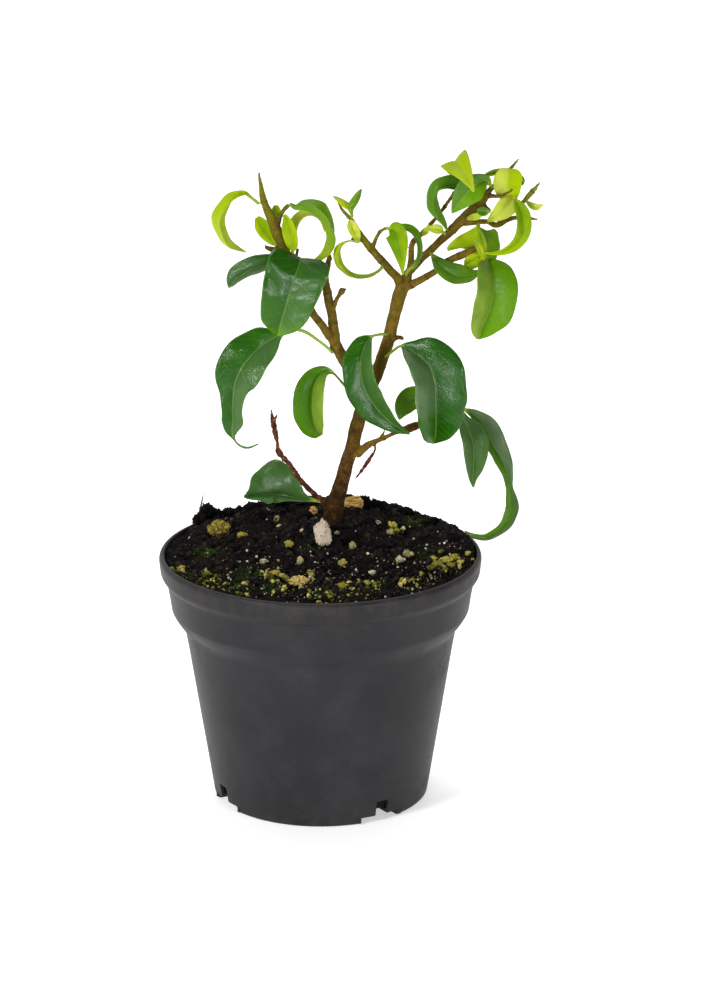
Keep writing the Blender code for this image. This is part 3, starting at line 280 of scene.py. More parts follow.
# Each leaf: material, fold in degrees, how far its edges sweep back, then rows of
# right, up, near, half width in mm, and the roll of the blade in degrees
LEAVES = {
    "leaf_left_ring_outer": ("leaf_young", 35, 0.0, (
        (-20.2, 113.2, 4.4, 0.5, -75), (-22.6, 115.2, 5, 0.5, -75), (-24.8, 116.3, 5.6, 1.4, -75),
        (-28.4, 114.6, 6, 2.7, -75), (-30.4, 111.5, 5.5, 4.1, -75), (-31.3, 107.7, 5, 5.2, -75),
        (-30.4, 103.7, 4.5, 5.0, -75), (-27.6, 100.0, 4, 3.4, -75), (-24.3, 97.6, 4, 0.35, -75))),
    "leaf_left_ring_large": ("leaf_green", 35, 0.0, (
        (-10.0, 113.3, 4, 0.5, 75), (-8.4, 111.7, 4.6, 2.2, 75), (-5.9, 111.6, 5, 4.8, 75),
        (-3.4, 110.8, 5.5, 6.0, 75), (-1.3, 109.2, 6, 6.6, 75), (0.5, 107.3, 6, 6.0, 75),
        (1.6, 105.0, 6, 5.0, 78), (2.1, 102.2, 6, 4.5, 84), (1.5, 99.5, 6, 4.0, 84),
        (0.4, 97.4, 6, 3.1, 84), (-1.2, 95.7, 6, 2.0, 80), (-3.7, 94.2, 6, 0.3, 80))),
    "leaf_left_ring_inner": ("leaf_young", 30, 0.0, (
        (-8.4, 98.4, 1.2, 0.5, 45), (-8.7, 102.2, -0.6, 1.7, 45), (-8.0, 105.8, -2, 2.4, 50),
        (-6.0, 108.5, -3, 2.9, 58), (-3.0, 109.4, -3.5, 2.9, 66), (-0.2, 107.8, -3.5, 2.4, 70),
        (1.3, 104.2, -3, 0.5, 70))),
    "leaf_left_narrow": ("leaf_young", 25, 0.0, (
        (-9.0, 98.0, 6.7, 0.5, 20), (-9.0, 99.8, 7.3, 2.1, 20), (-9.6, 103.2, 7.2, 2.7, 20),
        (-10.4, 106.8, 6.6, 2.2, 20), (-11.6, 109.8, 6, 0.5, 20))),
    "leaf_left_bud_scale": ("leaf_young", 20, 0.0, (
        (-13.9, 104.8, 1.8, 0.5, 10), (-14.1, 108.0, 1.3, 1.6, 10), (-14.3, 110.6, 1, 1.9, 10),
        (-14.4, 112.8, 1, 0.8, 10))),
    "leaf_left_behind_stem": ("leaf_young", 25, 0.0, (
        (-14.3, 99.8, 3.8, 0.6, 15), (-15.7, 101.4, 2.6, 1.8, 15), (-17.3, 103.8, 1.2, 2.7, 15),
        (-19.1, 106.6, 0.5, 2.6, 15), (-20.6, 108.9, 0, 1.0, 15))),
    "leaf_left_drip_tip": ("leaf_mature", 38, 0.1, (
        (-12.4, 97.0, 7.4, 0.5, -30), (-15.0, 94.4, 9.2, 2.8, -30), (-19.2, 92.6, 10, 4.2, -30),
        (-23.2, 91.4, 10, 4.3, -30), (-26.4, 89.4, 9.5, 4.0, -30), (-28.7, 87.3, 9.2, 2.7, -30),
        (-29.8, 85.9, 9, 0.5, -30))),
    "leaf_left_broad": ("leaf_mature", 18, 0.45, (
        (-6.6, 95.4, 8.5, 0.5, 0), (-7.0, 93.2, 11.5, 6.9, 0), (-8.2, 89.6, 14, 10.3, 0),
        (-10.0, 84.2, 15.2, 10.1, 2), (-11.6, 78.8, 15.2, 9.1, 4), (-12.8, 74.6, 14.6, 8.0, 6),
        (-13.5, 71.8, 13.8, 5.8, 6), (-14.0, 70.3, 13.0, 0.5, 6))),
    "leaf_left_long": ("leaf_mature", 20, 0.1, (
        (3.8, 64.8, 7.6, 0.5, 0), (2.5, 66.2, 9.0, 0.5, 0), (-0.8, 68.8, 9.6, 0.5, 0),
        (-4.9, 71.5, 9.2, 0.6, 0), (-8.8, 72.3, 8.4, 0.6, 0), (-13.0, 70.7, 8.4, 1.2, -4),
        (-16.6, 68.6, 9.0, 4.8, -14), (-19.8, 66.4, 10.2, 6.6, -16), (-22.5, 63.8, 11.2, 7.7, -16),
        (-24.9, 60.9, 12, 8.2, -14), (-26.8, 57.4, 12.2, 8.0, -10), (-27.9, 54.3, 12, 6.6, -6),
        (-28.4, 50.8, 12, 4.6, -4), (-28.6, 45.9, 11.5, 3.6, -4), (-28.5, 42.2, 11, 3.8, 0),
        (-28.8, 39.4, 11, 2.5, 0), (-28.2, 36.8, 11, 0.5, 0), (-26.4, 34.6, 11.5, 0.4, 0),
        (-23.6, 33.8, 11.5, 0.4, 0), (-20.2, 35.0, 11.5, 0.25, 0))),
    "leaf_left_cupped": ("leaf_green", 38, 0.1, (
        (12.2, 49.2, 2.7, 0.5, -20), (10.0, 51.4, 5.0, 0.5, -20), (7.2, 54.6, 7.4, 0.5, -20),
        (4.2, 57.8, 9.4, 0.6, -20), (1.4, 58.3, 10.4, 2.2, -22), (-0.9, 56.2, 11.2, 4.6, -22),
        (-2.2, 52.6, 12, 6.2, -22), (-2.6, 48.2, 12.2, 6.7, -22), (-2.3, 43.8, 11.8, 6.4, -22),
        (-1.6, 40.6, 11.2, 5.0, -22), (-0.4, 38.6, 10.6, 2.8, -22), (0.4, 38.1, 10.2, 0.5, -22))),
    "leaf_soil_left": ("leaf_mature", 40, 0.1, (
        (2.9, 15.4, -3.3, 0.5, -35), (-1.2, 16.2, -8, 0.6, -35), (-5.6, 16.8, -13, 2.6, -35),
        (-9.0, 17.6, -16, 7.2, -38), (-13.0, 18.2, -18, 11.0, -38), (-17.4, 18.4, -18.6, 11.6, -38),
        (-20.6, 18.2, -18.4, 8.4, -36), (-23.2, 17.7, -18, 3.6, -34), (-25.0, 17.8, -18, 0.4, -30))),
    "leaf_middle_sickle": ("leaf_mature", 30, 0.1, (
        (21.5, 70.6, 2.35, 0.5, -30), (19.4, 70.6, 5, 0.5, -30), (16.6, 69.8, 7.6, 0.8, -32),
        (14.5, 67.4, 9.4, 3.6, -33), (13.4, 63.2, 10.6, 5.6, -32), (13.2, 58.8, 11.4, 6.1, -27),
        (13.9, 54.6, 11.6, 6.3, -20), (16.2, 49.8, 11.2, 6.3, -20), (19.6, 45.2, 10.2, 5.0, -18),
        (24.2, 41.0, 9, 2.6, -14), (29.0, 38.3, 8, 0.3, -10))),
    "leaf_middle_gull": ("leaf_green", 36, 0.0, (
        (10.4, 109.0, 6.3, 0.5, -12), (10.0, 110.8, 7.4, 1.2, -12), (9.7, 112.5, 8.8, 4.3, -12),
        (9.4, 113.5, 10.5, 5.9, -12), (9.2, 113.4, 12.4, 4.9, -12), (9.0, 112.3, 13.8, 2.6, -12),
        (9.0, 111.4, 14.4, 0.5, -12))),
    "sheath_middle": ("leaf_pale", 20, 0.0, (
        (12.5, 100.6, 6.8, 0.5, 0), (11.5, 103.4, 6.9, 1.7, 0), (10.3, 106.2, 6.9, 1.8, 0),
        (9.6, 108.0, 6.4, 0.5, 0))),
    "leaf_middle_ring": ("leaf_green", 35, 0.0, (
        (20.0, 92.6, 4.7, 0.5, 75), (18.6, 91.2, 6, 0.6, 75), (15.6, 90.0, 7.5, 1.5, 75),
        (11.9, 90.1, 8, 2.1, 75), (9.2, 91.5, 8.4, 2.7, 75), (7.4, 93.6, 8.6, 3.0, 75),
        (6.5, 96.2, 8.6, 2.9, 75), (6.5, 98.4, 8.8, 2.1, 75), (7.6, 100.1, 9, 0.9, 75),
        (9.6, 101.0, 9, 0.35, 75), (12.0, 100.4, 9.4, 0.3, 75))),
    "leaf_middle_triangle": ("leaf_young", 25, 0.0, (
        (22.3, 105.2, 9.9, 0.5, -12), (24.4, 104.4, 11, 3.6, -12), (25.5, 101.4, 11.6, 3.6, -12),
        (26.2, 97.2, 11.4, 2.3, -12), (26.7, 92.4, 10.4, 0.8, -12), (26.8, 90.2, 9.8, 0.3, -12))),
    "leaf_middle_arch": ("leaf_green", 35, 0.0, (
        (27.7, 90.2, 0.7, 0.5, -75), (28.8, 91.8, 3.2, 0.6, -75), (30.8, 93.8, 4.4, 1.4, -75),
        (31.7, 96.5, 5, 2.1, -75), (31.7, 99.5, 5, 2.6, -75), (30.7, 102.2, 5, 2.8, -72),
        (28.9, 104.0, 5, 2.7, -68), (26.2, 104.9, 5, 2.0, -60), (23.6, 104.6, 5, 0.4, -60))),
    "leaf_right_broad": ("leaf_mature", 32, 0.12, (
        (21.4, 63.4, 2.8, 0.5, 22), (23.6, 65.2, 5, 0.5, 22), (26.4, 66.8, 7.5, 0.6, 22),
        (29.9, 65.0, 9.6, 4.6, 24), (33.2, 62.6, 11.4, 8.0, 26), (36.0, 59.2, 12.8, 10.1, 24),
        (37.3, 54.4, 13.4, 10.5, 22), (37.5, 49.0, 13.4, 10.4, 22), (37.6, 44.4, 12.6, 9.3, 22),
        (37.6, 41.0, 11.6, 8.0, 22), (37.5, 38.4, 10.6, 6.4, 22), (37.2, 36.6, 9.8, 4.0, 22),
        (37.0, 35.2, 9.2, 0.5, 22))),
    "leaf_right_small_behind": ("leaf_green", 20, 0.0, (
        (33.8, 43.4, -1.4, 0.5, -20), (34.2, 46.4, -3, 1.0, -20), (32.4, 49.4, -4, 3.6, -20),
        (29.5, 49.2, -4, 4.3, -20), (27.0, 46.4, -3.6, 3.3, -20), (25.7, 42.9, -3.2, 0.3, -20))),
    "leaf_low_pointed": ("leaf_green", 30, 0.1, (
        (45.9, 46.0, 0.1, 0.5, 20), (46.7, 42.6, 1.8, 2.2, 20), (48.6, 38.8, 4.0, 4.6, 20),
        (49.8, 35.2, 5.4, 5.2, 20), (49.9, 31.6, 6, 4.8, 20), (49.8, 27.4, 6, 3.6, 20),
        (49.5, 23.8, 5.8, 1.7, 20), (49.8, 20.9, 5.4, 0.3, 20))),
    "leaf_low_tail": ("leaf_green", 30, 0.0, (
        (46.7, 46.3, -2.0, 0.5, 30), (50.4, 44.0, -2.4, 2.4, 32), (54.4, 39.6, -2.2, 4.2, 32),
        (56.2, 34.6, -1.8, 4.5, 32), (57.9, 31.7, -1.6, 4.2, 30), (59.7, 28.5, -1.4, 3.2, 18),
        (61.1, 25.2, -1, 2.1, -5), (61.9, 21.6, -0.8, 1.8, -40), (63.1, 17.8, -0.2, 2.8, -45),
        (63.5, 13.9, 0.6, 3.5, -45), (62.0, 9.9, 1.4, 3.1, -45), (59.2, 6.7, 2.2, 2.4, -45),
        (55.8, 4.7, 2.8, 1.9, -45), (52.9, 4.1, 3.6, 1.5, -40), (49.2, 4.9, 4.4, 1.1, -30),
        (47.0, 6.6, 4.8, 0.3, -30))),
    "leaf_top_yellow": ("leaf_young", 15, 0.0, (
        (49.4, 112.2, -2.4, 0.5, 0), (48.4, 116.0, -4.6, 0.8, 0), (46.6, 120.6, -5.2, 1.8, 0),
        (44.8, 125.0, -3.6, 3.8, 0), (43.7, 127.3, -0.2, 4.9, 0), (45.0, 125.8, 3.8, 4.5, 0),
        (47.2, 122.6, 7.4, 2.7, 0), (49.0, 119.4, 9.8, 1.2, 0), (49.9, 117.1, 10.8, 0.3, 0))),
    "leaf_top_glossy": ("leaf_green", 22, 0.1, (
        (55.4, 119.4, 1.4, 0.5, 10), (53.6, 120.8, 2.6, 2.0, 10), (50.6, 119.4, 4.0, 4.0, 10),
        (48.4, 117.6, 4.8, 4.9, 10), (46.4, 115.4, 5.2, 4.1, 10), (44.4, 112.6, 5, 2.2, 10),
        (42.9, 110.2, 4.6, 0.3, 10))),
    "leaf_right_ring_left": ("leaf_green", 35, 0.0, (
        (41.0, 105.2, -0.6, 0.5, 75), (40.7, 106.8, 0, 2.2, 75), (40.2, 108.4, 0.2, 3.4, 75),
        (39.1, 110.6, 0.4, 4.3, 75), (38.2, 113.1, 0.6, 4.6, 75), (37.8, 115.5, 0.6, 4.5, 75),
        (38.5, 117.5, 0.6, 4.0, 72), (40.6, 118.4, 0.4, 3.8, 65), (43.2, 118.8, 0.2, 4.0, 55),
        (46.2, 119.3, 0, 2.4, 50), (48.6, 119.2, -0.2, 0.4, 50))),
    "sheath_right_low": ("leaf_pale", 15, 0.0, (
        (39.8, 104.0, 0.2, 0.5, 0), (38.4, 104.9, 0.9, 1.6, 0), (36.4, 105.2, 1.2, 1.3, 0),
        (35.2, 105.5, 1.3, 0.4, 0))),
    "leaf_top_pale": ("leaf_pale", 12, 0.3, (
        (61.6, 124.5, 0.2, 0.5, 0), (61.5, 123.5, 1.0, 2.9, 0), (61.3, 121.6, 1.4, 4.3, 0),
        (61.1, 119.4, 1.4, 4.8, 0), (61.4, 117.4, 1.2, 4.5, 0), (61.9, 115.6, 1.0, 3.6, 0),
        (62.4, 114.0, 0.8, 2.0, 0), (62.7, 113.0, 0.8, 0.4, 0))),
    "leaf_top_behind": ("leaf_green", 30, 0.0, (
        (55.5, 119.0, -1.6, 0.5, 60), (54.2, 121.8, -3.6, 1.0, 60), (56.2, 122.6, -4.6, 1.9, 60),
        (59.6, 122.6, -5, 2.4, 60), (63.0, 121.8, -4.8, 2.4, 60), (65.0, 120.6, -4.6, 2.0, 60),
        (65.6, 119.2, -4.2, 0.4, 60))),
    "sheath_right_upper": ("leaf_pale", 15, 0.0, (
        (54.6, 107.8, 1.3, 0.5, 0), (57.0, 109.2, 2.4, 1.9, 0), (59.6, 111.2, 3, 3.1, 0),
        (61.4, 113.1, 2.5, 3.3, 0), (62.6, 114.7, 1.8, 2.2, 0), (63.0, 115.4, 1.6, 0.5, 0))),
    "sheath_right_inner": ("leaf_pale", 15, 0.0, (
        (47.8, 108.4, 1.5, 0.5, 0), (49.4, 108.8, 1.6, 1.1, 0), (51.2, 109.2, 1.7, 1.2, 0),
        (52.9, 109.6, 1.7, 0.4, 0))),
    "leaf_right_round_small": ("leaf_green", 15, 0.0, (
        (54.8, 110.8, 2.9, 0.5, 0), (53.6, 110.7, 4, 1.4, 0), (52.2, 110.9, 4.2, 1.5, 0),
        (51.0, 111.2, 4.2, 0.5, 0))),
    "leaf_right_ring_outer": ("leaf_young", 35, 0.0, (
        (64.4, 113.2, 2.0, 0.5, 22), (63.5, 114.3, 4.0, 0.8, 22), (64.4, 112.4, 5.2, 2.2, 22),
        (65.4, 109.8, 6, 2.9, 22), (65.8, 107.0, 6.4, 3.1, 22), (65.5, 104.2, 6.8, 3.0, 22),
        (64.4, 101.8, 7, 2.7, 22), (62.2, 99.4, 7.4, 2.2, 22), (59.0, 97.7, 8, 1.3, 25),
        (55.6, 97.2, 8, 0.6, 30), (53.4, 97.4, 8, 0.3, 30))),
    "leaf_right_centre": ("leaf_young", -30, 0.0, (
        (51.2, 106.0, 0.2, 0.5, 30), (51.7, 104.6, 1.2, 7.6, 30), (52.4, 102.1, 1.8, 11.3, 30),
        (53.0, 99.5, 2.2, 10.4, 30), (52.8, 96.9, 2.6, 6.6, 12), (51.7, 94.5, 3.0, 5.4, 0),
        (50.6, 92.8, 3.4, 0.4, 0))),
    "leaf_right_crescent": ("leaf_green", 20, 0.0, (
        (36.4, 96.6, -0.6, 0.5, 30), (37.8, 94.8, 4, 1.6, 30), (40.2, 92.0, 8, 3.2, 30),
        (43.9, 89.9, 10.2, 3.9, 30), (47.7, 89.5, 10.6, 3.2, 30), (50.4, 90.4, 10.4, 1.7, 30),
        (51.8, 91.4, 10, 0.4, 30))),
    "leaf_right_hanging": ("leaf_green", 32, 0.1, (
        (52.1, 98.4, 5.0, 0.5, 19), (54.2, 95.6, 3.6, 0.7, 19), (55.2, 93.2, 6.0, 3.6, 19),
        (55.9, 90.4, 8.6, 6.6, 19), (56.3, 87.2, 10.4, 7.8, 19), (56.2, 83.7, 11.6, 8.2, 19),
        (55.4, 79.9, 12, 8.2, 19), (54.0, 76.2, 11.6, 7.2, 19), (52.6, 72.8, 10.6, 5.0, 19),
        (51.8, 70.4, 9.4, 2.2, 19), (51.6, 69.2, 8.6, 0.4, 19))),
    "sheath_right_tip": ("leaf_pale", 15, 0.0, (
        (67.4, 113.8, 1.5, 0.5, 0), (69.0, 112.6, 2, 1.1, 0), (70.6, 112.2, 2.2, 1.1, 0),
        (72.5, 112.9, 2.2, 0.3, 0))),
}

# Small curls and scales that only the finer model has, on the same terms
SMALL_LEAVES = {
    "curl_right_inner": ("leaf_pale", 20, 0.0, (
        (50.4, 101.8, 6.4, 0.4, 20), (50.9, 100.4, 7.0, 0.9, 20), (51.7, 98.9, 7.4, 1.2, 20),
        (52.3, 97.3, 7.6, 1.1, 20), (52.6, 95.8, 7.6, 0.3, 20))),
    "curl_right_rim": ("leaf_young", 25, 0.0, (
        (51.5, 105.0, 2.4, 0.4, 40), (52.6, 103.2, 4.6, 0.6, 40), (53.2, 101.2, 5.8, 0.7, 40),
        (53.4, 99.0, 6.4, 0.8, 40), (53.2, 96.8, 6.6, 0.9, 40), (52.4, 94.8, 6.6, 0.9, 30),
        (50.8, 93.2, 6.4, 0.3, 30))),
    "lobe_right_low": ("leaf_young", 18, 0.0, (
        (53.2, 96.2, 5.6, 0.5, 10), (51.8, 95.6, 5.8, 1.8, 10), (50.0, 94.8, 5.8, 2.5, 10),
        (48.2, 93.8, 5.6, 2.1, 10), (47.0, 93.0, 5.4, 0.4, 10))),
    "scale_middle_low": ("leaf_pale", 15, 0.0, (
        (33.4, 103.0, 0.6, 0.4, 0), (34.4, 104.2, 1.0, 1.0, 0), (35.0, 105.4, 1.2, 0.8, 0),
        (35.2, 106.4, 1.2, 0.3, 0))),
}

# A leaf whose upper side, where it is widest, doesn't face the viewer: that side's direction
LEAF_FACING = {
    "leaf_middle_gull": (0, 1, 0),
    "leaf_top_yellow": (-0.57, 0.82, 0),
}

# Each loose piece: slot, look, place over the rim's middle, half sizes in mm, turn about Z, seed
LOOSE = {
    "stone_pale": ("stone", "stone", (0.7, 4.0, 4.6), (2.5, 3.0, 4.4), 20, 3),
    "bark_chip_golden": ("wood_chip", "wood_chip", (10.6, 31.0, 6.4), (3.3, 1.6, 2.4), 15, 5),
    "bark_chip_orange": ("wood_chip", "wood_chip", (-2.6, 22.0, 6.0), (1.4, 1.5, 2.1), 0, 8),
    "crumb_ball_left": ("crumb", "crumb", (-33.6, 19.5, 1.2), (3.5, 3.3, 3.0), 0, 11),
    "crumb_block_front": ("crumb", "crumbs_bright", (-6.6, -30.0, 0.0), (3.3, 2.4, 1.7), 10, 14),
}

# How each leaf looks: age and greyness of its left half, then of its right half as it is drawn,
# what its base and its tip add to that age, and how far its margin waves as a share of its half width.
# Age runs from 0, dark and full-grown, to 1, pale and just unfolded. The halves' ages also paint light:
# halves that are lit from behind, and halves that lie in shade, were given a paler age to show the light
# they catch. Grey is a pale grey-green painted over a half: partly the bloom of an underside that shows,
# partly painted sheen on a half that is turned across the light.
LEAF_LOOKS = {
    "leaf_left_ring_outer": (0.84, 0.0, 0.84, 0.0, -0.34, 0.08, 0.03),
    "leaf_left_ring_large": (0.58, 0.0, 0.54, 0.0, -0.08, 0.14, 0.03),
    "leaf_left_ring_inner": (0.90, 0.0, 0.90, 0.0, 0.0, 0.0, 0.03),
    "leaf_left_narrow": (0.70, 0.0, 0.66, 0.0, 0.0, 0.0, 0.05),
    "leaf_left_bud_scale": (0.76, 0.0, 0.76, 0.0, 0.0, 0.0, 0.03),
    "leaf_left_behind_stem": (0.64, 0.0, 0.70, 0.0, 0.0, 0.05, 0.04),
    "leaf_left_drip_tip": (0.10, 0.15, 0.14, 0.65, 0.0, 0.10, 0.05),
    "leaf_left_broad": (0.03, 0.0, 0.10, 0.12, 0.05, 0.38, 0.05),
    "leaf_left_long": (0.05, 0.0, 0.12, 0.35, 0.25, 0.16, 0.07),
    "leaf_left_cupped": (0.32, 0.0, 0.58, 0.35, 0.12, 0.06, 0.04),
    "leaf_soil_left": (0.14, 0.28, 0.10, 0.2, 0.0, 0.0, 0.06),
    "leaf_middle_sickle": (0.04, 0.0, 0.16, 0.25, 0.2, 0.12, 0.05),
    "leaf_middle_gull": (0.70, 0.0, 0.54, 0.0, 0.0, 0.0, 0.04),
    "sheath_middle": (0.95, 0.0, 0.88, 0.0, -0.05, 0.0, 0.04),
    "leaf_middle_ring": (0.66, 0.0, 0.70, 0.0, 0.0, 0.08, 0.03),
    "leaf_middle_triangle": (0.56, 0.0, 0.60, 0.0, 0.0, 0.08, 0.04),
    "leaf_middle_arch": (0.50, 0.0, 0.44, 0.1, 0.12, -0.05, 0.04),
    "leaf_right_broad": (0.10, 0.65, 0.02, 0.05, 0.20, 0.12, 0.05),
    "leaf_right_small_behind": (0.44, 0.1, 0.44, 0.1, 0.0, 0.0, 0.04),
    "leaf_low_pointed": (0.14, 0.5, 0.10, 0.4, 0.0, 0.22, 0.04),
    "leaf_low_tail": (0.34, 0.1, 0.24, 1.0, -0.08, 0.12, 0.05),
    "leaf_top_yellow": (0.80, 0.0, 0.78, 0.0, 0.0, 0.04, 0.04),
    "leaf_top_glossy": (0.40, 0.25, 0.52, 0.0, 0.0, 0.0, 0.05),
    "leaf_right_ring_left": (0.50, 0.0, 0.46, 0.1, 0.10, -0.26, 0.04),
    "sheath_right_low": (0.92, 0.0, 0.86, 0.0, 0.0, 0.0, 0.03),
    "leaf_top_pale": (0.92, 0.0, 0.74, 0.0, 0.0, 0.04, 0.05),
    "leaf_top_behind": (0.66, 0.0, 0.62, 0.0, 0.1, -0.22, 0.04),
    "sheath_right_upper": (0.94, 0.0, 0.88, 0.0, 0.0, 0.0, 0.05),
    "sheath_right_inner": (0.88, 0.0, 0.88, 0.0, 0.0, 0.0, 0.03),
    "leaf_right_round_small": (0.34, 0.2, 0.34, 0.1, 0.0, 0.0, 0.03),
    "leaf_right_ring_outer": (0.62, 0.0, 0.62, 0.0, -0.04, 0.12, 0.03),
    "leaf_right_centre": (0.66, 0.0, 0.52, 0.0, 0.05, 0.12, 0.05),
    "leaf_right_crescent": (0.36, 0.0, 0.32, 0.1, 0.0, 0.12, 0.04),
    "leaf_right_hanging": (0.58, 0.35, 0.44, 0.0, 0.0, 0.08, 0.05),
    "sheath_right_tip": (0.95, 0.0, 0.95, 0.0, 0.0, 0.0, 0.03),
    "curl_right_inner": (0.84, 0.0, 0.84, 0.0, 0.0, 0.0, 0.03),
    "curl_right_rim": (0.78, 0.0, 0.70, 0.0, 0.0, 0.0, 0.03),
    "lobe_right_low": (0.72, 0.0, 0.70, 0.0, 0.0, 0.0, 0.05),
    "scale_middle_low": (0.88, 0.0, 0.84, 0.0, 0.0, 0.0, 0.05),
}

# Each leaf finish: roughness, coat of wax, share of light that passes through, strength of side veins
# and of the midrib, and how far the underside's pale bloom covers its colour
LEAF_FINISH = {
    "leaf_mature": (0.40, 0.40, 0.05, 0.28, 0.40, 0.25),
    "leaf_green": (0.42, 0.17, 0.20, 0.35, 0.50, 0.20),
    "leaf_young": (0.46, 0.10, 0.36, 0.25, 0.30, 0.05),
    "leaf_pale": (0.55, 0.0, 0.40, 0.10, 0.12, 0.0),
}
LEAF_COLOURS = ((0.0, (0.006, 0.058, 0.0005)), (0.25, (0.022, 0.098, 0.0008)), (0.5, (0.100, 0.240, 0.001)),
                (0.76, (0.38, 0.48, 0.003)), (1.0, (0.60, 0.61, 0.10)))
VEIN_COLOUR = (0.26, 0.38, 0.06)
# GREY_GREEN: painted over a half of some leaves, partly an underside's bloom, partly painted sheen on a half
# turned across the light
GREY_GREEN = (0.090, 0.145, 0.066)
UNDERSIDE_COLOUR = (0.12, 0.20, 0.07)
GLOW_COLOUR = (0.50, 0.80, 0.01)
LEAF_MOTTLE = (0.0, 0.02, 0.0)

# How young the stalks of each kind of leaf look
STALK_AGES = {"leaf_mature": 0.64, "leaf_green": 0.66, "leaf_young": 0.80, "leaf_pale": 0.85}

# Where along a blade the painted grey, of sheen and of underside bloom, ends, as a share of its length
GREY_UNTIL = {"leaf_right_broad": 0.74}

# How young the bark of each limb is at its start and at its end, from 0, old, to 1, green
LIMB_YOUTH = {
    "trunk": (-0.20, 0.46), "left_branch": (0.34, 0.40), "left_front_shoot": (0.34, 0.70),
    "left_ring_stalk": (0.45, 0.65), "left_shoot_stub": (0.20, 0.20), "left_inner_twig": (0.40, 0.55),
    "left_back_shoot": (0.36, 0.46), "left_inner_spur": (0.45, 0.50), "left_back_stub": (0.40, 0.25),
    "middle_shoot": (0.40, 0.80), "middle_stalk_arc": (0.46, 0.80), "middle_bud": (0.20, 0.20),
    "right_shoot": (0.36, 0.62), "right_side_twig": (0.42, 0.60), "right_spear": (0.50, 0.80),
    "right_top_twig": (0.35, 0.45), "right_leaf_stalk": (0.50, 0.60), "right_back_twig": (0.33, 0.45),
    "right_low_shoot": (0.40, 0.42), "low_branch": (0.28, 0.06), "low_branch_spur": (0.50, 0.60),
    "trunk_stub": (0.25, 0.15), "dry_bud_hanging": (0.2, 0.2), "dead_twig": (-0.2, 0.2),
    "dead_twig_fork": (0.2, 0.2),
}
DEAD_LIMBS = ("dead_twig", "dead_twig_fork", "dry_bud_hanging")
POINTED_LIMBS = ("left_front_shoot", "middle_shoot", "right_shoot", "right_side_twig", "right_spear",
                 "right_top_twig", "dry_bud_hanging", "dead_twig", "left_ring_stalk")

# Crumbs that stand out on the soil: colour, where each is seen (right, up in mm), half sizes in mm
CRUMBS = (
    ("cream", (-14.0, 9.9), (1.1, 1.0, 1.3)), ("cream", (-13.2, 8.1), (0.8, 0.7, 0.6)),
    ("yellow", (-10.1, 1.8), (1.6, 1.4, 1.3)), ("cream", (-6.7, -3.6), (1.0, 1.0, 1.5)),
    ("cream", (-18.6, -3.6), (1.2, 1.0, 0.9)), ("yellow", (-25.4, 5.0), (1.6, 1.3, 1.0)),
    ("yellow", (-14.5, -7.2), (1.5, 1.2, 0.8)), ("yellow", (-12.4, -8.2), (1.2, 1.1, 0.8)),
    ("yellow", (-16.6, -8.4), (1.1, 1.0, 0.7)), ("yellow", (-3.4, -7.2), (1.2, 1.0, 0.9)),
    ("cream", (10.4, 1.0), (1.1, 1.0, 1.7)), ("cream", (28.2, -1.3), (1.6, 1.2, 1.3)),
    ("cream", (25.9, -3.2), (1.6, 1.3, 1.2)), ("cream", (24.0, -4.4), (1.0, 0.9, 0.8)),
    ("yellow", (7.2, -4.2), (1.2, 1.0, 1.2)), ("cream", (3.5, -4.6), (0.8, 0.7, 0.7)),
    ("cream", (-2.7, -8.0), (0.8, 0.8, 0.8)), ("yellow", (7.2, -11.6), (1.6, 1.3, 1.1)),
    ("cream", (12.8, -11.0), (0.8, 0.8, 0.8)), ("cream", (17.1, -7.4), (1.2, 1.0, 1.0)),
    ("yellow", (15.0, -10.6), (1.2, 1.0, 0.9)), ("cream", (-6.3, -12.2), (0.8, 0.7, 0.7)),
    ("yellow", (23.6, 8.0), (1.4, 1.3, 1.3)), ("cream", (22.6, 5.9), (1.0, 1.0, 1.1)),
    ("yellow", (24.9, 6.4), (1.0, 0.9, 0.9)), ("cream", (18.7, 9.1), (1.0, 0.8, 0.8)),
    ("cream", (15.6, 7.5), (0.5, 0.5, 0.6)), ("cream", (27.0, 7.0), (0.7, 0.7, 0.9)),
    ("cream", (5.5, 6.0), (0.8, 0.7, 0.7)), ("cream", (-5.9, 6.5), (0.8, 0.8, 0.8)),
    ("cream", (-17.1, 13.2), (1.0, 0.6, 0.5)), ("yellow", (48.0, -0.9), (0.7, 0.9, 0.8)),
    ("cream", (-28.9, 9.9), (0.5, 0.5, 0.7)), ("yellow", (-45.2, -5.6), (1.3, 1.2, 0.7)),
    ("yellow", (38.0, -4.4), (1.8, 1.5, 1.0)), ("yellow", (41.0, -3.2), (1.8, 1.5, 1.2)),
    ("yellow", (43.8, -2.4), (1.7, 1.4, 1.2)), ("yellow", (42.6, -4.9), (1.6, 1.4, 0.9)),
    ("yellow", (39.8, -5.6), (1.5, 1.3, 0.9)), ("yellow", (45.6, -3.9), (1.2, 1.1, 0.9)),
    ("yellow", (35.8, -5.6), (1.3, 1.1, 0.8)), ("yellow", (37.0, -2.6), (1.1, 1.0, 0.8)),
    ("yellow", (27.4, -9.6), (1.7, 1.4, 0.8)), ("yellow", (30.0, -10.2), (1.8, 1.4, 0.9)),
    ("yellow", (32.6, -9.8), (1.3, 1.1, 0.8)), ("yellow", (-33.5, -8.0), (1.0, 0.9, 0.6)),
)

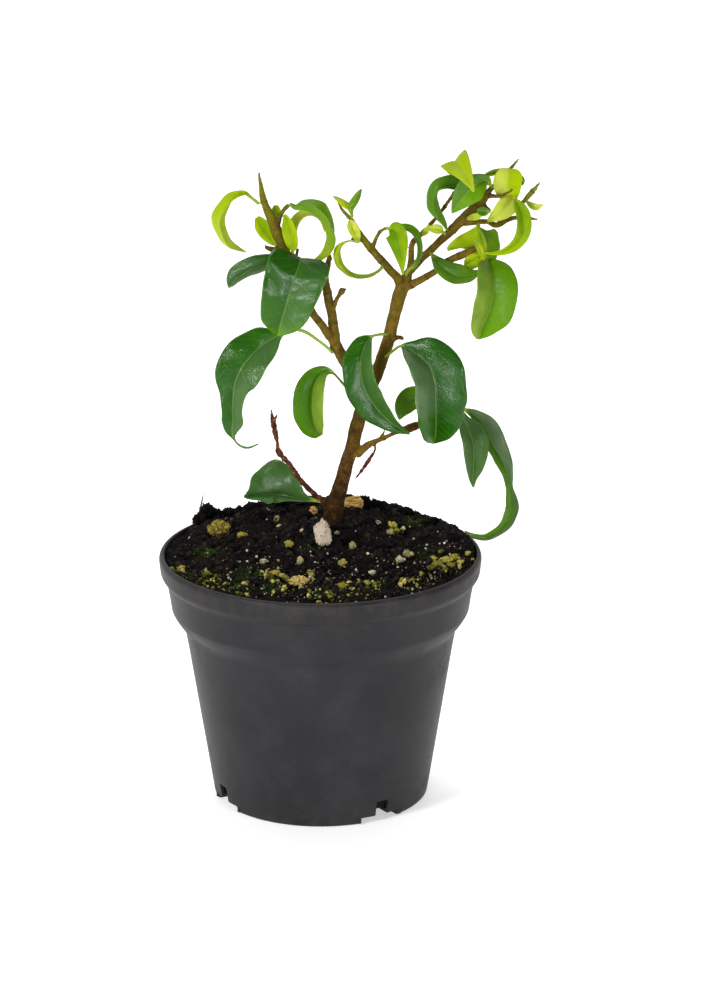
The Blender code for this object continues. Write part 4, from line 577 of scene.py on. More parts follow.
# Patches of moss and of dry yellow-green crust on the soil: right, up and reach, in mm
MOSS_SPOTS = ((-24.0, -7.7, 4.5), (-36.5, 0.0, 4.0), (-40.5, -9.0, 4.0), (30.0, 9.6, 2.6),
              (-15.0, -12.0, 3.5), (-27.0, -11.5, 4.0), (35.0, -1.0, 3.0), (17.0, -11.0, 3.5),
              (2.0, -13.0, 3.0), (-3.0, 3.0, 2.0))
CRUST_SPOTS = ((-45.0, -6.0, 3.0), (-37.0, -9.7, 3.5), (-14.5, -8.0, 4.0), (-2.0, -10.0, 4.0),
               (8.0, -12.0, 4.5), (9.7, -14.4, 4.0), (-12.0, -13.4, 4.5), (-25.0, -13.0, 3.5),
               (29.5, -10.2, 4.0), (41.0, -4.0, 5.5), (17.0, -11.0, 4.0), (24.0, 6.5, 2.0),
               (-33.0, -11.0, 3.0), (2.0, -14.6, 4.0))

# Large dark clods on the soil: right, up, and half sizes, in mm
CLODS = ((-36.8, 11.6, (3.0, 2.8, 3.4)), (-33.6, 12.4, (2.2, 2.2, 2.2)), (-39.4, 9.8, (2.4, 2.4, 2.0)),
         (-30.0, 13.0, (2.6, 2.0, 1.8)), (-22.0, 14.2, (3.0, 2.5, 1.6)), (-12.0, 15.4, (2.8, 2.3, 1.5)),
         (9.0, 15.6, (3.4, 3.0, 2.4)), (14.0, 15.2, (3.2, 2.6, 2.6)), (18.8, 14.2, (2.6, 2.4, 2.0)),
         (27.0, 12.6, (3.0, 2.4, 1.6)), (36.0, 9.6, (2.6, 2.2, 1.4)), (8.8, 7.6, (3.2, 2.6, 2.0)),
         (14.8, 9.4, (3.0, 2.6, 2.0)), (-4.6, 11.4, (2.4, 2.2, 1.6)), (44.0, 4.0, (2.4, 2.0, 1.2)),
         (-8.0, 4.8, (2.4, 2.0, 1.3)), (20.0, 1.0, (2.8, 2.4, 1.5)), (-28.0, 1.0, (2.6, 2.2, 1.3)))


def across_view(vector):
    """A vector given as right, up and near in the drawn view, turned into the world."""
    right, up, near = vector
    return Vector((right, up * math.sin(VIEW_TILT) - near * math.cos(VIEW_TILT),
                   up * math.cos(VIEW_TILT) + near * math.sin(VIEW_TILT)))


RIM_MIDDLE = Vector((0, 0, POT_HEIGHT))
EYE = RIM_MIDDLE + across_view((VIEW_AIM_RIGHT, VIEW_AIM_UP, VIEW_DISTANCE))


def seen(right, up, near):
    """The point seen at right, up of the rim's middle that stands near mm before the trunk."""
    drawn = RIM_MIDDLE + across_view((right * MM, up * MM, 0))
    reach = (TRUNK_Y - near * MM - EYE.y) / (drawn.y - EYE.y)
    return EYE + (drawn - EYE) * reach


def blend_rows(rows, position):
    """A row between the given ones, on a Catmull-Rom curve through them all."""
    first = min(int(position), len(rows) - 2)
    t = position - first
    before = rows[max(first - 1, 0)]
    after = rows[min(first + 2, len(rows) - 1)]
    mixed = []
    for a, b, c, d in zip(before, rows[first], rows[first + 1], after):
        mixed.append(b + 0.5 * t * (c - a + t * (2 * a - 5 * b + 4 * c - d + t * (3 * (b - c) + d - a))))
    return mixed


def even_rows(rows, count):
    """Rows on the curve, evenly apart along it in 3D."""
    steps = 16 * count
    fine = [blend_rows(rows, (len(rows) - 1) * i / steps) for i in range(steps + 1)]
    points = [seen(*row[:3]) for row in fine]
    lengths = [0]
    for a, b in zip(points, points[1:]):
        lengths.append(lengths[-1] + (b - a).length)
    chosen = []
    i = 0
    for step in range(count):
        target = lengths[-1] * step / (count - 1)
        while i < steps and lengths[i] < target - 1e-9:
            i += 1
        chosen.append(fine[i])
    return chosen


def directions(points):
    """The way on at each of the points of a curve."""
    last = len(points) - 1
    return [(points[min(i + 1, last)] - points[max(i - 1, 0)]).normalized() for i in range(last + 1)]


def blade_frames(points, rolls, widths, facing):
    """For each station along a leaf, its way on, its side and its upper face, carried without twist."""
    last = len(points) - 1
    along = directions(points)
    widest = widths.index(max(widths))
    up = [None] * (last + 1)
    up[widest] = facing or EYE - points[widest]
    for i in list(range(widest + 1, last + 1)) + list(range(widest - 1, -1, -1)):
        carried = up[i - 1] if i > widest else up[i + 1]
        up[i] = (carried - along[i] * carried.dot(along[i])).normalized()
    up[widest] = (up[widest] - along[widest] * up[widest].dot(along[widest])).normalized()
    frames = []
    for forward, face, roll in zip(along, up, rolls):
        side = forward.cross(face)
        turn = math.radians(roll)
        rolled = side * math.cos(turn) + face * math.sin(turn)
        frames.append((forward, rolled, rolled.cross(forward)))
    return frames


def smooth_step(low, high, value):
    share = min(max((value - low) / (high - low), 0), 1)
    return share * share * (3 - 2 * share)


def mix(a, b, share):
    return a + (b - a) * share


def hill(x, y, at, reach):
    """A rounded hill of height 1 that falls away over its reach."""
    return math.exp(-((x - at[0]) ** 2 + (y - at[1]) ** 2) / reach ** 2)


def stretched(vector, sizes):
    """The vector times a size in mm along each axis."""
    return Vector([part * size for part, size in zip(vector, sizes)]) * MM


def new_object(name, mesh, materials=()):
    obj = bpy.data.objects.new(name, mesh)
    bpy.context.scene.collection.objects.link(obj)
    for material in materials:
        mesh.materials.append(material)
    return obj


def mesh_of(bm, name):
    mesh = bpy.data.meshes.new(name)
    bm.to_mesh(mesh)
    bm.free()
    return mesh


def add_tube(bm, stations, sides=16):
    """A round tube with closed ends through stations that start with place, radius and way on."""
    rings = []
    side = stations[0][2].orthogonal()
    for place, radius, way in (station[:3] for station in stations):
        side = (side - way * side.dot(way)).normalized()
        other = way.cross(side)
        ring = []
        for j in range(sides):
            turn = math.tau * j / sides
            ring.append(bm.verts.new(place + (side * math.cos(turn) + other * math.sin(turn)) * radius))
        rings.append(ring)
    for ring, beyond in zip(rings, rings[1:]):
        for j in range(sides):
            k = (j + 1) % sides
            bm.faces.new((ring[j], ring[k], beyond[k], beyond[j]))
    bm.faces.new(rings[0][::-1])
    bm.faces.new(rings[-1])


def finished(obj):
    """The object's mesh with its modifiers worked in."""
    mesh = bpy.data.meshes.new_from_object(obj.evaluated_get(bpy.context.evaluated_depsgraph_get()))
    obj.modifiers.clear()
    return mesh


def hand_over(piece, slot, *nodes, smooth=True):
    """Puts a piece on the object's one body, for the nodes that it stands for."""
    if smooth:
        piece.data.shade_smooth()
    else:
        piece.data.shade_flat()
    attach(piece, "root")
    if nodes:
        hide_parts(*nodes)


# Shader helpers

def plug(tree, node, inputs):
    """The node, with each of these inputs set to a value or joined to a socket."""
    for key, value in inputs.items():
        if isinstance(value, bpy.types.NodeSocket):
            tree.links.new(value, node.inputs[key])
        else:
            node.inputs[key].default_value = value
    return node


def add(tree, kind, inputs=None, **settings):
    """A new node with its settings and inputs."""
    made = tree.nodes.new(kind)
    for key, value in settings.items():
        setattr(made, key, value)
    return plug(tree, made, inputs or {})


def math_of(tree, operation, a, b=0.0, clamp=False):
    return add(tree, "ShaderNodeMath", {0: a, 1: b}, operation=operation, use_clamp=clamp).outputs[0]


def plus(tree, a, b, clamp=False):
    return math_of(tree, "ADD", a, b, clamp)


def minus(tree, a, b):
    return math_of(tree, "SUBTRACT", a, b)


def times(tree, a, b):
    return math_of(tree, "MULTIPLY", a, b)


def spread(tree, value, low, high, to_low=0.0, to_high=1.0):
    """The value moved from one range to another, smoothly and held inside it."""
    made = add(tree, "ShaderNodeMapRange", {"Value": value, "From Min": low, "From Max": high,
               "To Min": to_low, "To Max": to_high}, interpolation_type="SMOOTHSTEP")
    return made.outputs["Result"]


def tint(tree, share, a, b):
    """Two colours mixed by a share."""
    made = add(tree, "ShaderNodeMix", {"Factor": share}, data_type="RGBA")
    sockets = {socket.identifier: socket for socket in made.inputs}
    for label, value in (("A_Color", a), ("B_Color", b)):
        if isinstance(value, bpy.types.NodeSocket):
            tree.links.new(value, sockets[label])
        else:
            sockets[label].default_value = (*value, 1)
    return next(s for s in made.outputs if s.identifier == "Result_Color")


def ramp(tree, share, stops):
    made = add(tree, "ShaderNodeValToRGB", {"Fac": share})
    made.color_ramp.interpolation = "EASE"
    elements = made.color_ramp.elements
    while len(elements) < len(stops):
        elements.new(0.5)
    for element, (position, colour) in zip(elements, stops):
        element.position = position
        element.color = (*colour, 1)
    return made.outputs["Color"]


def speckle(tree, place, size, detail=3.0, roughness=0.6):
    """Cloudy noise with patches of about that size, in metres."""
    made = add(tree, "ShaderNodeTexNoise",
               {"Vector": place, "Scale": 1 / size, "Detail": detail, "Roughness": roughness})
    return made.outputs["Fac"]


def cells(tree, place, size):
    return add(tree, "ShaderNodeTexVoronoi", {"Vector": place, "Scale": 1 / size}).outputs["Distance"]


def attribute(tree, name):
    return add(tree, "ShaderNodeAttribute", attribute_name=name).outputs["Fac"]


def object_place(tree):
    return add(tree, "ShaderNodeTexCoord").outputs["Object"]


def mapped(tree, place, **settings):
    return add(tree, "ShaderNodeMapping", {"Vector": place, **settings}).outputs["Vector"]


def uv_parts(tree, name):
    """The two parts of a UV map, as a node's X and Y."""
    uv = add(tree, "ShaderNodeUVMap", uv_map=name).outputs["UV"]
    return add(tree, "ShaderNodeSeparateXYZ", {0: uv}).outputs


def new_group(name, inputs, outputs):
    """A shader node group with named inputs and outputs; returns it with its two end nodes."""
    group = bpy.data.node_groups.new(name, "ShaderNodeTree")
    for label, value in inputs.items():
        socket = group.interface.new_socket(label, in_out="INPUT", socket_type="NodeSocketFloat")
        socket.default_value = value
    for label, kind in outputs.items():
        group.interface.new_socket(label, in_out="OUTPUT", socket_type=f"NodeSocket{kind}")
    return group, add(group, "NodeGroupInput").outputs, add(group, "NodeGroupOutput")


def use_group(tree, group, values):
    made = tree.nodes.new("ShaderNodeGroup")
    made.node_tree = group
    return plug(tree, made, values).outputs


def new_material(name):
    material = bpy.data.materials.new(name)
    material.use_nodes = True
    tree = material.node_tree
    return material, tree, tree.nodes["Principled BSDF"]


def bumped(tree, shader, height, distance, strength=1.0):
    relief = add(tree, "ShaderNodeBump", {"Height": height, "Distance": distance, "Strength": strength})
    plug(tree, shader, {"Normal": relief.outputs["Normal"]})
    return relief.outputs["Normal"]


# Materials

def side_veins(group, place, along, from_rib):
    """Veins that leave the midrib at a slant and wander a little; lengths are in mm."""
    wander = times(group, speckle(group, place, 3 * MM, 1.0), 1.6)
    slant = minus(group, along, times(group, from_rib, 0.9))
    phase = times(group, plus(group, slant, wander), math.tau / VEIN_SPACING)
    return spread(group, math_of(group, "SINE", phase), 0.86, 1.0)


def leaf_tissue_group():
    """Colour, gloss and relief of a blade from its age, its midrib, side veins and margin."""
    group, start, end = new_group(
        "leaf_tissue",
        {"Vein Strength": 0.5, "Rib Strength": 0.5, "Roughness": 0.4, "Paleness": 0.0},
        {"Color": "Color", "Glow Color": "Color", "Roughness": "Float", "Height": "Float"})
    place = object_place(group)
    sizes = uv_parts(group, "millimetres")
    from_rib = math_of(group, "ABSOLUTE", sizes["Y"])
    to_edge = math_of(group, "ABSOLUTE", minus(group, uv_parts(group, "blade")["Y"], 0.5))
    fine = speckle(group, place, 0.45 * MM, 2.0)
    drift = times(group, minus(group, speckle(group, place, 5 * MM), 0.5), 0.2)
    age = plus(group, attribute(group, "age"), drift, clamp=True)
    # The grey attribute paints a pale grey-green over a half: partly painted sheen, partly an underside's
    # bloom
    body = tint(group, attribute(group, "grey"), ramp(group, age, LEAF_COLOURS), GREY_GREEN)
    midrib = times(group, spread(group, from_rib, 0.28, 0.09), start["Rib Strength"])
    veins = times(group, side_veins(group, place, sizes["X"], from_rib), start["Vein Strength"])
    margin = times(group, spread(group, to_edge, 0.47, 0.498), 0.4)
    light = plus(group, plus(group, midrib, times(group, veins, 0.3)), margin, clamp=True)
    veined = tint(group, light, body, tint(group, 0.6, body, VEIN_COLOUR))
    mottled = tint(group, times(group, fine, 0.14), veined, LEAF_MOTTLE)
    paled = tint(group, start["Paleness"], mottled, UNDERSIDE_COLOUR)
    rough = plus(group, start["Roughness"], times(group, minus(group, fine, 0.5), 0.22))
    grain = times(group, speckle(group, place, 1.6 * MM, 2.0), 0.4)
    relief = minus(group, plus(group, times(group, fine, 0.9), grain), times(group, veins, 0.6))
    plug(group, end, {"Color": paled, "Glow Color": tint(group, 0.5, paled, GLOW_COLOUR),
                      "Roughness": rough, "Height": relief})
    return group


def leaf_material(name, group, finish, under):
    roughness, wax, through, veins, midrib, bloom = finish
    material, tree, shader = new_material(name + ("_underside" if under else "_upper"))
    tissue = use_group(tree, group, {"Vein Strength": veins, "Rib Strength": midrib,
                                     "Roughness": roughness + 0.18 * under, "Paleness": bloom * under})
    normal = bumped(tree, shader, tissue["Height"], 0.14 * MM, 0.8)
    plug(tree, shader, {"Base Color": tissue["Color"], "Roughness": tissue["Roughness"],
                        "Coat Weight": 0 if under else wax, "Coat Roughness": WAX_ROUGHNESS,
                        "Coat Normal": normal, "Specular IOR Level": 0.04})
    glow = add(tree, "ShaderNodeBsdfTranslucent", {"Color": tissue["Glow Color"], "Normal": normal})
    blend = add(tree, "ShaderNodeMixShader",
                {0: through, 1: shader.outputs["BSDF"], 2: glow.outputs["BSDF"]})
    plug(tree, tree.nodes["Material Output"], {"Surface": blend.outputs[0]})
    return material


def bark_material():
    """Bark that turns from brown to green with its youth, with pores, leaf-scar rings and crevices whose
    dark is partly painted shade.
    """
    material, tree, shader = new_material("bark")
    place = object_place(tree)
    youth = attribute(tree, "youth")
    patches = speckle(tree, place, 2.0 * MM, 4.0, 0.65)
    grain = speckle(tree, place, 0.5 * MM, 3.0, 0.7)
    drift = times(tree, minus(tree, patches, 0.5), 0.5)
    living = ramp(tree, plus(tree, youth, drift, clamp=True), BARK_COLOURS)
    body = tint(tree, attribute(tree, "dead"), living, ramp(tree, patches, DEAD_COLOURS))
    ringed = tint(tree, times(tree, attribute(tree, "ring"), 0.7), body, RING_COLOUR)
    pores = spread(tree, cells(tree, place, 0.9 * MM), 0.24, 0.1)
    marked = tint(tree, times(tree, pores, 0.4), ringed, PORE_COLOUR)
    # Crevices: where the grain sinks, darkened partly by the bark's own dark and partly by painted shade in
    # the grooves
    crevices = times(tree, spread(tree, grain, 0.54, 0.28, 0.0, 0.6),
                     minus(tree, 1.0, times(tree, youth, 0.7)))
    plug(tree, shader, {"Base Color": tint(tree, crevices, marked, BARK_CREVICE_DARK_AND_SHADE),
                        "Roughness": spread(tree, patches, 0.2, 0.8, 0.5, 0.8),
                        "Specular IOR Level": 0.06})
    bumped(tree, shader, plus(tree, grain, pores), 0.4 * MM)
    return material


def dust_group():
    """A mask of dust and smears: cloudy drifts broken up by finer specks."""
    group, start, end = new_group("dust", {"Amount": 0.5, "Drift Size": 0.012},
                                  {"Mask": "Float", "Specks": "Float"})
    place = object_place(group)
    scale = math_of(group, "DIVIDE", 1.0, start["Drift Size"])
    drift = add(group, "ShaderNodeTexNoise", {"Vector": place, "Scale": scale, "Detail": 5.0,
                "Roughness": 0.65}).outputs["Fac"]
    plug(group, end, {"Mask": times(group, spread(group, drift, 0.42, 0.72), start["Amount"]),
                      "Specks": spread(group, speckle(group, place, 0.7 * MM, 2.0, 0.8), 0.64, 0.74)})
    return group


def pot_material(dust):
    """Dark moulded plastic with a haze of dust, and soil smeared under the lip and round the foot."""
    material, tree, shader = new_material("pot_plastic")
    place = object_place(tree)
    height = add(tree, "ShaderNodeSeparateXYZ", {0: place}).outputs["Z"]
    dusty = use_group(tree, dust, {"Amount": 0.55, "Drift Size": 14 * MM})
    stained = use_group(tree, dust, {"Amount": 1.0, "Drift Size": 5 * MM})
    clouds = speckle(tree, place, 30 * MM, 4.0)
    body = tint(tree, spread(tree, clouds, 0.3, 0.7), POT_DARK, POT_LIGHT)
    colour = tint(tree, times(tree, dusty["Mask"], 0.25), body, POT_DUST)
    for low, high, share in ((LIP_FOOT - 6 * MM, LIP_FOOT + 2 * MM, 0.55), (9 * MM, 1 * MM, 0.5)):
        smeared = times(tree, stained["Mask"], spread(tree, height, low, high))
        colour = tint(tree, times(tree, smeared, share), colour, POT_SOIL)
    specked = tint(tree, times(tree, stained["Specks"], 0.05), colour, POT_SPECKS)
    plug(tree, shader, {"Base Color": specked, "Specular IOR Level": 0.15,
                        "Roughness": spread(tree, dusty["Mask"], 0.0, 0.6, 0.46, 0.60)})
    grain = speckle(tree, place, 0.35 * MM, 2.0)
    swirl = add(tree, "ShaderNodeTexNoise",
                {"Vector": mapped(tree, place, Scale=(60, 60, 900)), "Scale": 1.0, "Detail": 3.0})
    bumped(tree, shader, plus(tree, times(tree, grain, 0.6), swirl.outputs["Fac"]), 0.05 * MM, 0.6)
    return material


def soil_material(name):
    material, tree, shader = new_material(name)
    place = object_place(tree)
    patches = speckle(tree, place, 3.0 * MM, 5.0, 0.7)
    fine = speckle(tree, place, 0.4 * MM, 3.0, 0.7)
    dotted = tint(tree, spread(tree, fine, 0.64, 0.78, 0.0, 0.6), ramp(tree, patches, PEAT_COLOURS),
                  PEAT_DOTS)
    mossy = times(tree, attribute(tree, "moss"), spread(tree, fine, 0.40, 0.58))
    plug(tree, shader, {"Base Color": tint(tree, mossy, dotted, PEAT_MOSS), "Roughness": 0.8,
                        "Specular IOR Level": 0.05})
    bumped(tree, shader, plus(tree, fine, patches), 0.5 * MM)
    return material


def crumb_material(name, pit, stops):
    """Dry crumbs, stones and grains: one colour for each from the tone stored on it as shade, with pits and
    specks, and painted shade in the crevices between their lobes.
    """
    material, tree, shader = new_material(name)
    place = object_place(tree)
    grain = speckle(tree, place, 0.6 * MM, 4.0, 0.7)
    shade = plus(tree, times(tree, attribute(tree, "shade"), 0.6), times(tree, grain, 0.5))
    pits = spread(tree, cells(tree, place, pit), 0.3, 0.12)
    # Pits keep their own dark colour; the crevices between lobes get painted shade
    pits_and_crevice_shade = math_of(tree, "MAXIMUM", pits, attribute(tree, "crevice"))
    pitted = tint(tree, times(tree, pits_and_crevice_shade, 0.75), ramp(tree, shade, stops), PIT_DARK_AND_CREVICE_SHADE)
    plug(tree, shader, {"Base Color": pitted, "Roughness": 0.85, "Specular IOR Level": 0.12})
    bumped(tree, shader, minus(tree, grain, pits), 0.3 * MM)
    return material


def chip_material():
    """Split bark: golden wood with brown streaks along its length."""
    material, tree, shader = new_material("wood_chip")
    lengthwise = mapped(tree, object_place(tree), Rotation=(0, 0.5, 0.3), Scale=(1, 1, 3.2))
    streaks = speckle(tree, lengthwise, 1.5 * MM, 4.0, 0.65)
    plug(tree, shader, {"Base Color": ramp(tree, streaks, CHIP_COLOURS), "Roughness": 0.7})
    bumped(tree, shader, streaks, 0.5 * MM)
    return material


# Pot

def rounded(profile, radius):
    """The profile with each corner off the axis drawn round."""
    smooth = []
    for i, corner in enumerate(profile):
        here = Vector(corner)
        before = Vector(profile[i - 1])
        after = Vector(profile[(i + 1) % len(profile)])
        if here.x < MM:
            smooth.append(here)
            continue
        start = here + (before - here).normalized() * min(radius, 0.4 * (before - here).length)
        stop = here + (after - here).normalized() * min(radius, 0.4 * (after - here).length)
        for t in (0, 0.25, 0.5, 0.75, 1):
            smooth.append(start.lerp(here, t).lerp(here.lerp(stop, t), t))
    return smooth


def pot_profile():
    """Right half of the pot's section, down the outside and up the inside."""
    outside = [(RIM_RADIUS - 1.2 * MM, POT_HEIGHT), (RIM_RADIUS - 0.5 * MM, POT_HEIGHT - 0.3 * MM),
               (RIM_RADIUS, POT_HEIGHT - 1.4 * MM), (RIM_RADIUS - 0.5 * MM, LIP_FOOT),
               (RIM_RADIUS - 1.2 * MM, LIP_FOOT - 1.2 * MM), (RIM_RADIUS - 2.3 * MM, LIP_FOOT - 2.1 * MM),
               (49.3 * MM, 69.0 * MM), (48.6 * MM, 64.0 * MM), (47.6 * MM, 62.2 * MM),
               (46.4 * MM, 60.4 * MM), (45.0 * MM, 58.8 * MM), (STEP_RADIUS, STEP_HEIGHT),
               (BODY_TOP_RADIUS, BODY_TOP_HEIGHT), (FOOT_RADIUS + 0.7 * MM, FOOT_HEIGHT),
               (FOOT_RADIUS, 0.7 * MM), (FOOT_RADIUS - 0.7 * MM, 0)]
    inside = [(FOOT_RADIUS - 1.2 * MM, BASE_THICKNESS), (FOOT_RADIUS - 0.4 * MM, FOOT_HEIGHT),
              (BODY_TOP_RADIUS - WALL, BODY_TOP_HEIGHT), (STEP_RADIUS - WALL, STEP_HEIGHT),
              (46.4 * MM - WALL, 61.0 * MM), (48.6 * MM - WALL, 65.0 * MM),
              (RIM_RADIUS - 2.3 * MM - WALL, LIP_FOOT - 2.1 * MM),
              (RIM_RADIUS - 1.9 * MM, POT_HEIGHT - 1.2 * MM),
              (RIM_RADIUS - 1.7 * MM, POT_HEIGHT - 0.2 * MM)]
    return outside + [(0, 0), (0, BASE_THICKNESS)] + inside


def blocks_round_foot(name, inner, outer, width, low, high):
    """The same block at each slot's angle, which is measured from the front, to the right."""
    blocks = []
    for angle in SLOT_ANGLES:
        bm = bmesh.new()
        bmesh.ops.create_cube(bm, size=1)
        bmesh.ops.scale(bm, vec=(width, outer - inner, high - low), verts=bm.verts)
        bmesh.ops.translate(bm, vec=(0, -(inner + outer) / 2, (low + high) / 2), verts=bm.verts)
        block = new_object(f"{name}_{angle}", mesh_of(bm, name))
        block.rotation_euler.z = math.radians(angle)
        blocks.append(block)
    return blocks


def boolean(obj, operation, tools):
    """Cuts obj by, or joins it with, each tool, and removes the tools."""
    for tool in tools:
        modifier = obj.modifiers.new(operation.lower(), "BOOLEAN")
        modifier.operation = operation
        modifier.object = tool
        modifier.solver = "EXACT"
    obj.data = finished(obj)
    for tool in tools:
        bpy.data.objects.remove(tool)


def make_pot(material):
    bm = bmesh.new()
    corners = [bm.verts.new((radius, 0, height)) for radius, height in rounded(pot_profile(), CORNER)]
    for a, b in zip(corners, corners[1:] + corners[:1]):
        if a.co.x > 0 or b.co.x > 0:
            bm.edges.new((a, b))
    pot = new_object("pot_fine", mesh_of(bm, "pot_fine"), [material])
    screw = pot.modifiers.new("turn", "SCREW")
    screw.steps = POT_SIDES
    screw.render_steps = POT_SIDES
    screw.use_merge_vertices = True
    screw.merge_threshold = 0.01 * MM
    pot.data = finished(pot)
    boolean(pot, "UNION", blocks_round_foot("roof", CHANNEL_INNER_RADIUS - WALL, FOOT_RADIUS - 0.6 * MM,
                                            CHANNEL_WIDTH + 2 * WALL, 0.5 * MM, CHANNEL_HEIGHT + WALL))
    boolean(pot, "DIFFERENCE", blocks_round_foot("channel", CHANNEL_INNER_RADIUS, FOOT_RADIUS + 5 * MM,
                                                 CHANNEL_WIDTH, -2 * MM, CHANNEL_HEIGHT))
    boolean(pot, "DIFFERENCE", blocks_round_foot("slot", FOOT_RADIUS - 5 * MM, FOOT_RADIUS + 6 * MM,
                                                 SLOT_WIDTH, -1 * MM, SLOT_TOP))
    hand_over(pot, "pot_plastic", "pot")
    pot.data.set_sharp_from_angle(angle=SHARP_ANGLE)


# Soil

def soil_height(x, y):
    """Height of the soil over the rim, from a heap round the trunk and gentle clods."""
    out = min(math.hypot(x, y) / SOIL_RADIUS, 1)
    heap = HEAP_HEIGHT * hill(x, y, HEAP_AT, HEAP_SPREAD)
    clod = CLOD_HEIGHT * hill(x, y, CLOD_AT, CLOD_SPREAD)
    lumps = LUMP_HEIGHT * noise.noise(Vector((x, y, 0)) / LUMP_SIZE)
    back = 1.0 * MM * max(y / RIM_RADIUS, -0.3)
    return -SOIL_EDGE_DROP + back + (heap + clod + lumps) * (1 - out ** 6) + 0.5 * MM * (1 - out ** 2)


def soil_bank(x, y):
    """How much higher the soil is piled against the back and the right of the rim."""
    out = math.hypot(x, y) / SOIL_RADIUS
    return BANK_HEIGHT * smooth_step(0.6, 0.92, out) * smooth_step(0.05, 0.45, (y + 0.35 * x) / RIM_RADIUS)


def soil_hollow(x, y):
    """How much the piled soil has slumped at the back left and along the right."""
    return sum(depth * hill(x / MM, y / MM, at, reach) for at, reach, depth in SOIL_HOLLOWS) * MM


def soil_level(x, y):
    return POT_HEIGHT + soil_height(x, y) + soil_bank(x, y) - soil_hollow(x, y)


def crumbly(x, y):
    """Relief of the loose soil: clods and crumbs of three sizes, with gaps between them."""
    out = min(math.hypot(x, y) / SOIL_RADIUS, 1)
    warp = noise.noise_vector(Vector((x, y, 3 * MM)) / (3.5 * MM)) * 1.6
    relief = 0.0
    for size, height in SOIL_CRUMBS:
        nearest, second = noise.voronoi(Vector((x / MM + warp.x, y / MM + warp.y, 7 * size)) / size)[0][:2]
        relief += height * (0.6 * math.sqrt(min(1, 2.2 * (second - nearest))) + 0.5 * (1 - nearest) - 0.6)
    relief += 0.5 * noise.noise(Vector((x, y, 0)) / (0.8 * MM))
    return relief * MM * (1 - 0.6 * out ** 10)


def on_soil(right, up, over=0.0):
    """The point of the soil that is seen at right, up of the rim's middle, and over mm above it."""
    drawn = RIM_MIDDLE + across_view((right * MM, up * MM, 0))
    ray = drawn - EYE
    level = POT_HEIGHT
    for _ in range(12):
        place = EYE + ray * ((level - EYE.z) / ray.z)
        level = soil_level(place.x, place.y)
    return Vector((place.x, place.y, level)) + Vector((0, 0, over * MM))


def patches_at(spots):
    """A share over the soil that is high in the spots, each given as right, up and reach in mm."""
    placed = [(on_soil(right, up), reach * MM) for right, up, reach in spots]

    def share(x, y):
        nearest = min(((x - place.x) ** 2 + (y - place.y) ** 2) / reach ** 2 for place, reach in placed)
        ragged = 0.75 + 0.9 * noise.noise(Vector((x, y, 0.3)) / (2.5 * MM))
        return max(0.0, ragged * math.exp(-nearest)) if nearest < 5 else 0.0
    return share


def soil_top():
    """A round sheet of crumbly soil, with its moss."""
    bm = bmesh.new()
    bmesh.ops.create_grid(bm, x_segments=SOIL_CELLS, y_segments=SOIL_CELLS, size=1)
    radius = RIM_RADIUS - 2.3 * MM - GAP
    moss = bm.verts.layers.float.new("moss")
    moss_share = patches_at(MOSS_SPOTS)
    for vertex in bm.verts:
        a, b = vertex.co.x, vertex.co.y
        x = radius * a * math.sqrt(1 - b * b / 2)
        y = radius * b * math.sqrt(1 - a * a / 2)
        vertex.co = (x, y, soil_level(x, y) + crumbly(x, y))
        vertex[moss] = moss_share(x, y)
    return bm


def make_soil(material):
    bm = soil_top()
    wall = [(RIM_RADIUS - 2.6 * MM - WALL - GAP, POT_HEIGHT - 8.1 * MM),
            (48.4 * MM - WALL - GAP, 65.4 * MM), (46.2 * MM - WALL - GAP, 61.2 * MM),
            (STEP_RADIUS - WALL - GAP, STEP_HEIGHT), (BODY_TOP_RADIUS - WALL - GAP, BODY_TOP_HEIGHT),
            (FOOT_RADIUS - 0.4 * MM - GAP, FOOT_HEIGHT), (FOOT_RADIUS - 1.2 * MM - GAP, 3.9 * MM)]
    edge = [e for e in bm.edges if e.is_boundary]
    for radius, height in wall:
        grown = bmesh.ops.extrude_edge_only(bm, edges=edge)["geom"]
        for vertex in (v for v in grown if isinstance(v, bmesh.types.BMVert)):
            flat = vertex.co.xy.normalized() * radius
            vertex.co = (flat.x, flat.y, height)
        edge = [e for e in grown if isinstance(e, bmesh.types.BMEdge)]
    bmesh.ops.holes_fill(bm, edges=edge, sides=0)
    bmesh.ops.recalc_face_normals(bm, faces=bm.faces)
    soil = new_object("soil_fine", mesh_of(bm, "soil_fine"), [material])
    hand_over(soil, "soil", "soil")
    return soil


def named_value(tree, name):
    node = add(tree, "GeometryNodeInputNamedAttribute", {"Name": name}, data_type="FLOAT")
    return node.outputs["Attribute"]


def store_on_each(tree, instances, name, value):
    """The instances, each with its value stored under the name."""
    stored = add(tree, "GeometryNodeStoreNamedAttribute",
                 {"Geometry": instances, "Name": name, "Value": value},
                 data_type="FLOAT", domain="INSTANCE")
    return stored.outputs["Geometry"]


def random_number(tree, seed):
    return add(tree, "FunctionNodeRandomValue", {"Seed": seed}, data_type="FLOAT").outputs[1]


def scaled_vector(tree, vector, scale):
    node = add(tree, "ShaderNodeVectorMath", {0: vector, "Scale": scale}, operation="SCALE")
    return node.outputs["Vector"]


def scatter_interface(tree):
    """The named inputs and the output of the tree that strews lumps; returns its start sockets."""
    for label, way in (("Geometry", "INPUT"), ("Geometry", "OUTPUT"), ("Material", "INPUT")):
        tree.interface.new_socket(label, in_out=way, socket_type=f"NodeSocket{label}")
    for label in STREWN_INPUTS:
        kind = "NodeSocketInt" if label in ("Sides", "Seed") else "NodeSocketFloat"
        tree.interface.new_socket(label, in_out="INPUT", socket_type=kind)
    return add(tree, "NodeGroupInput").outputs


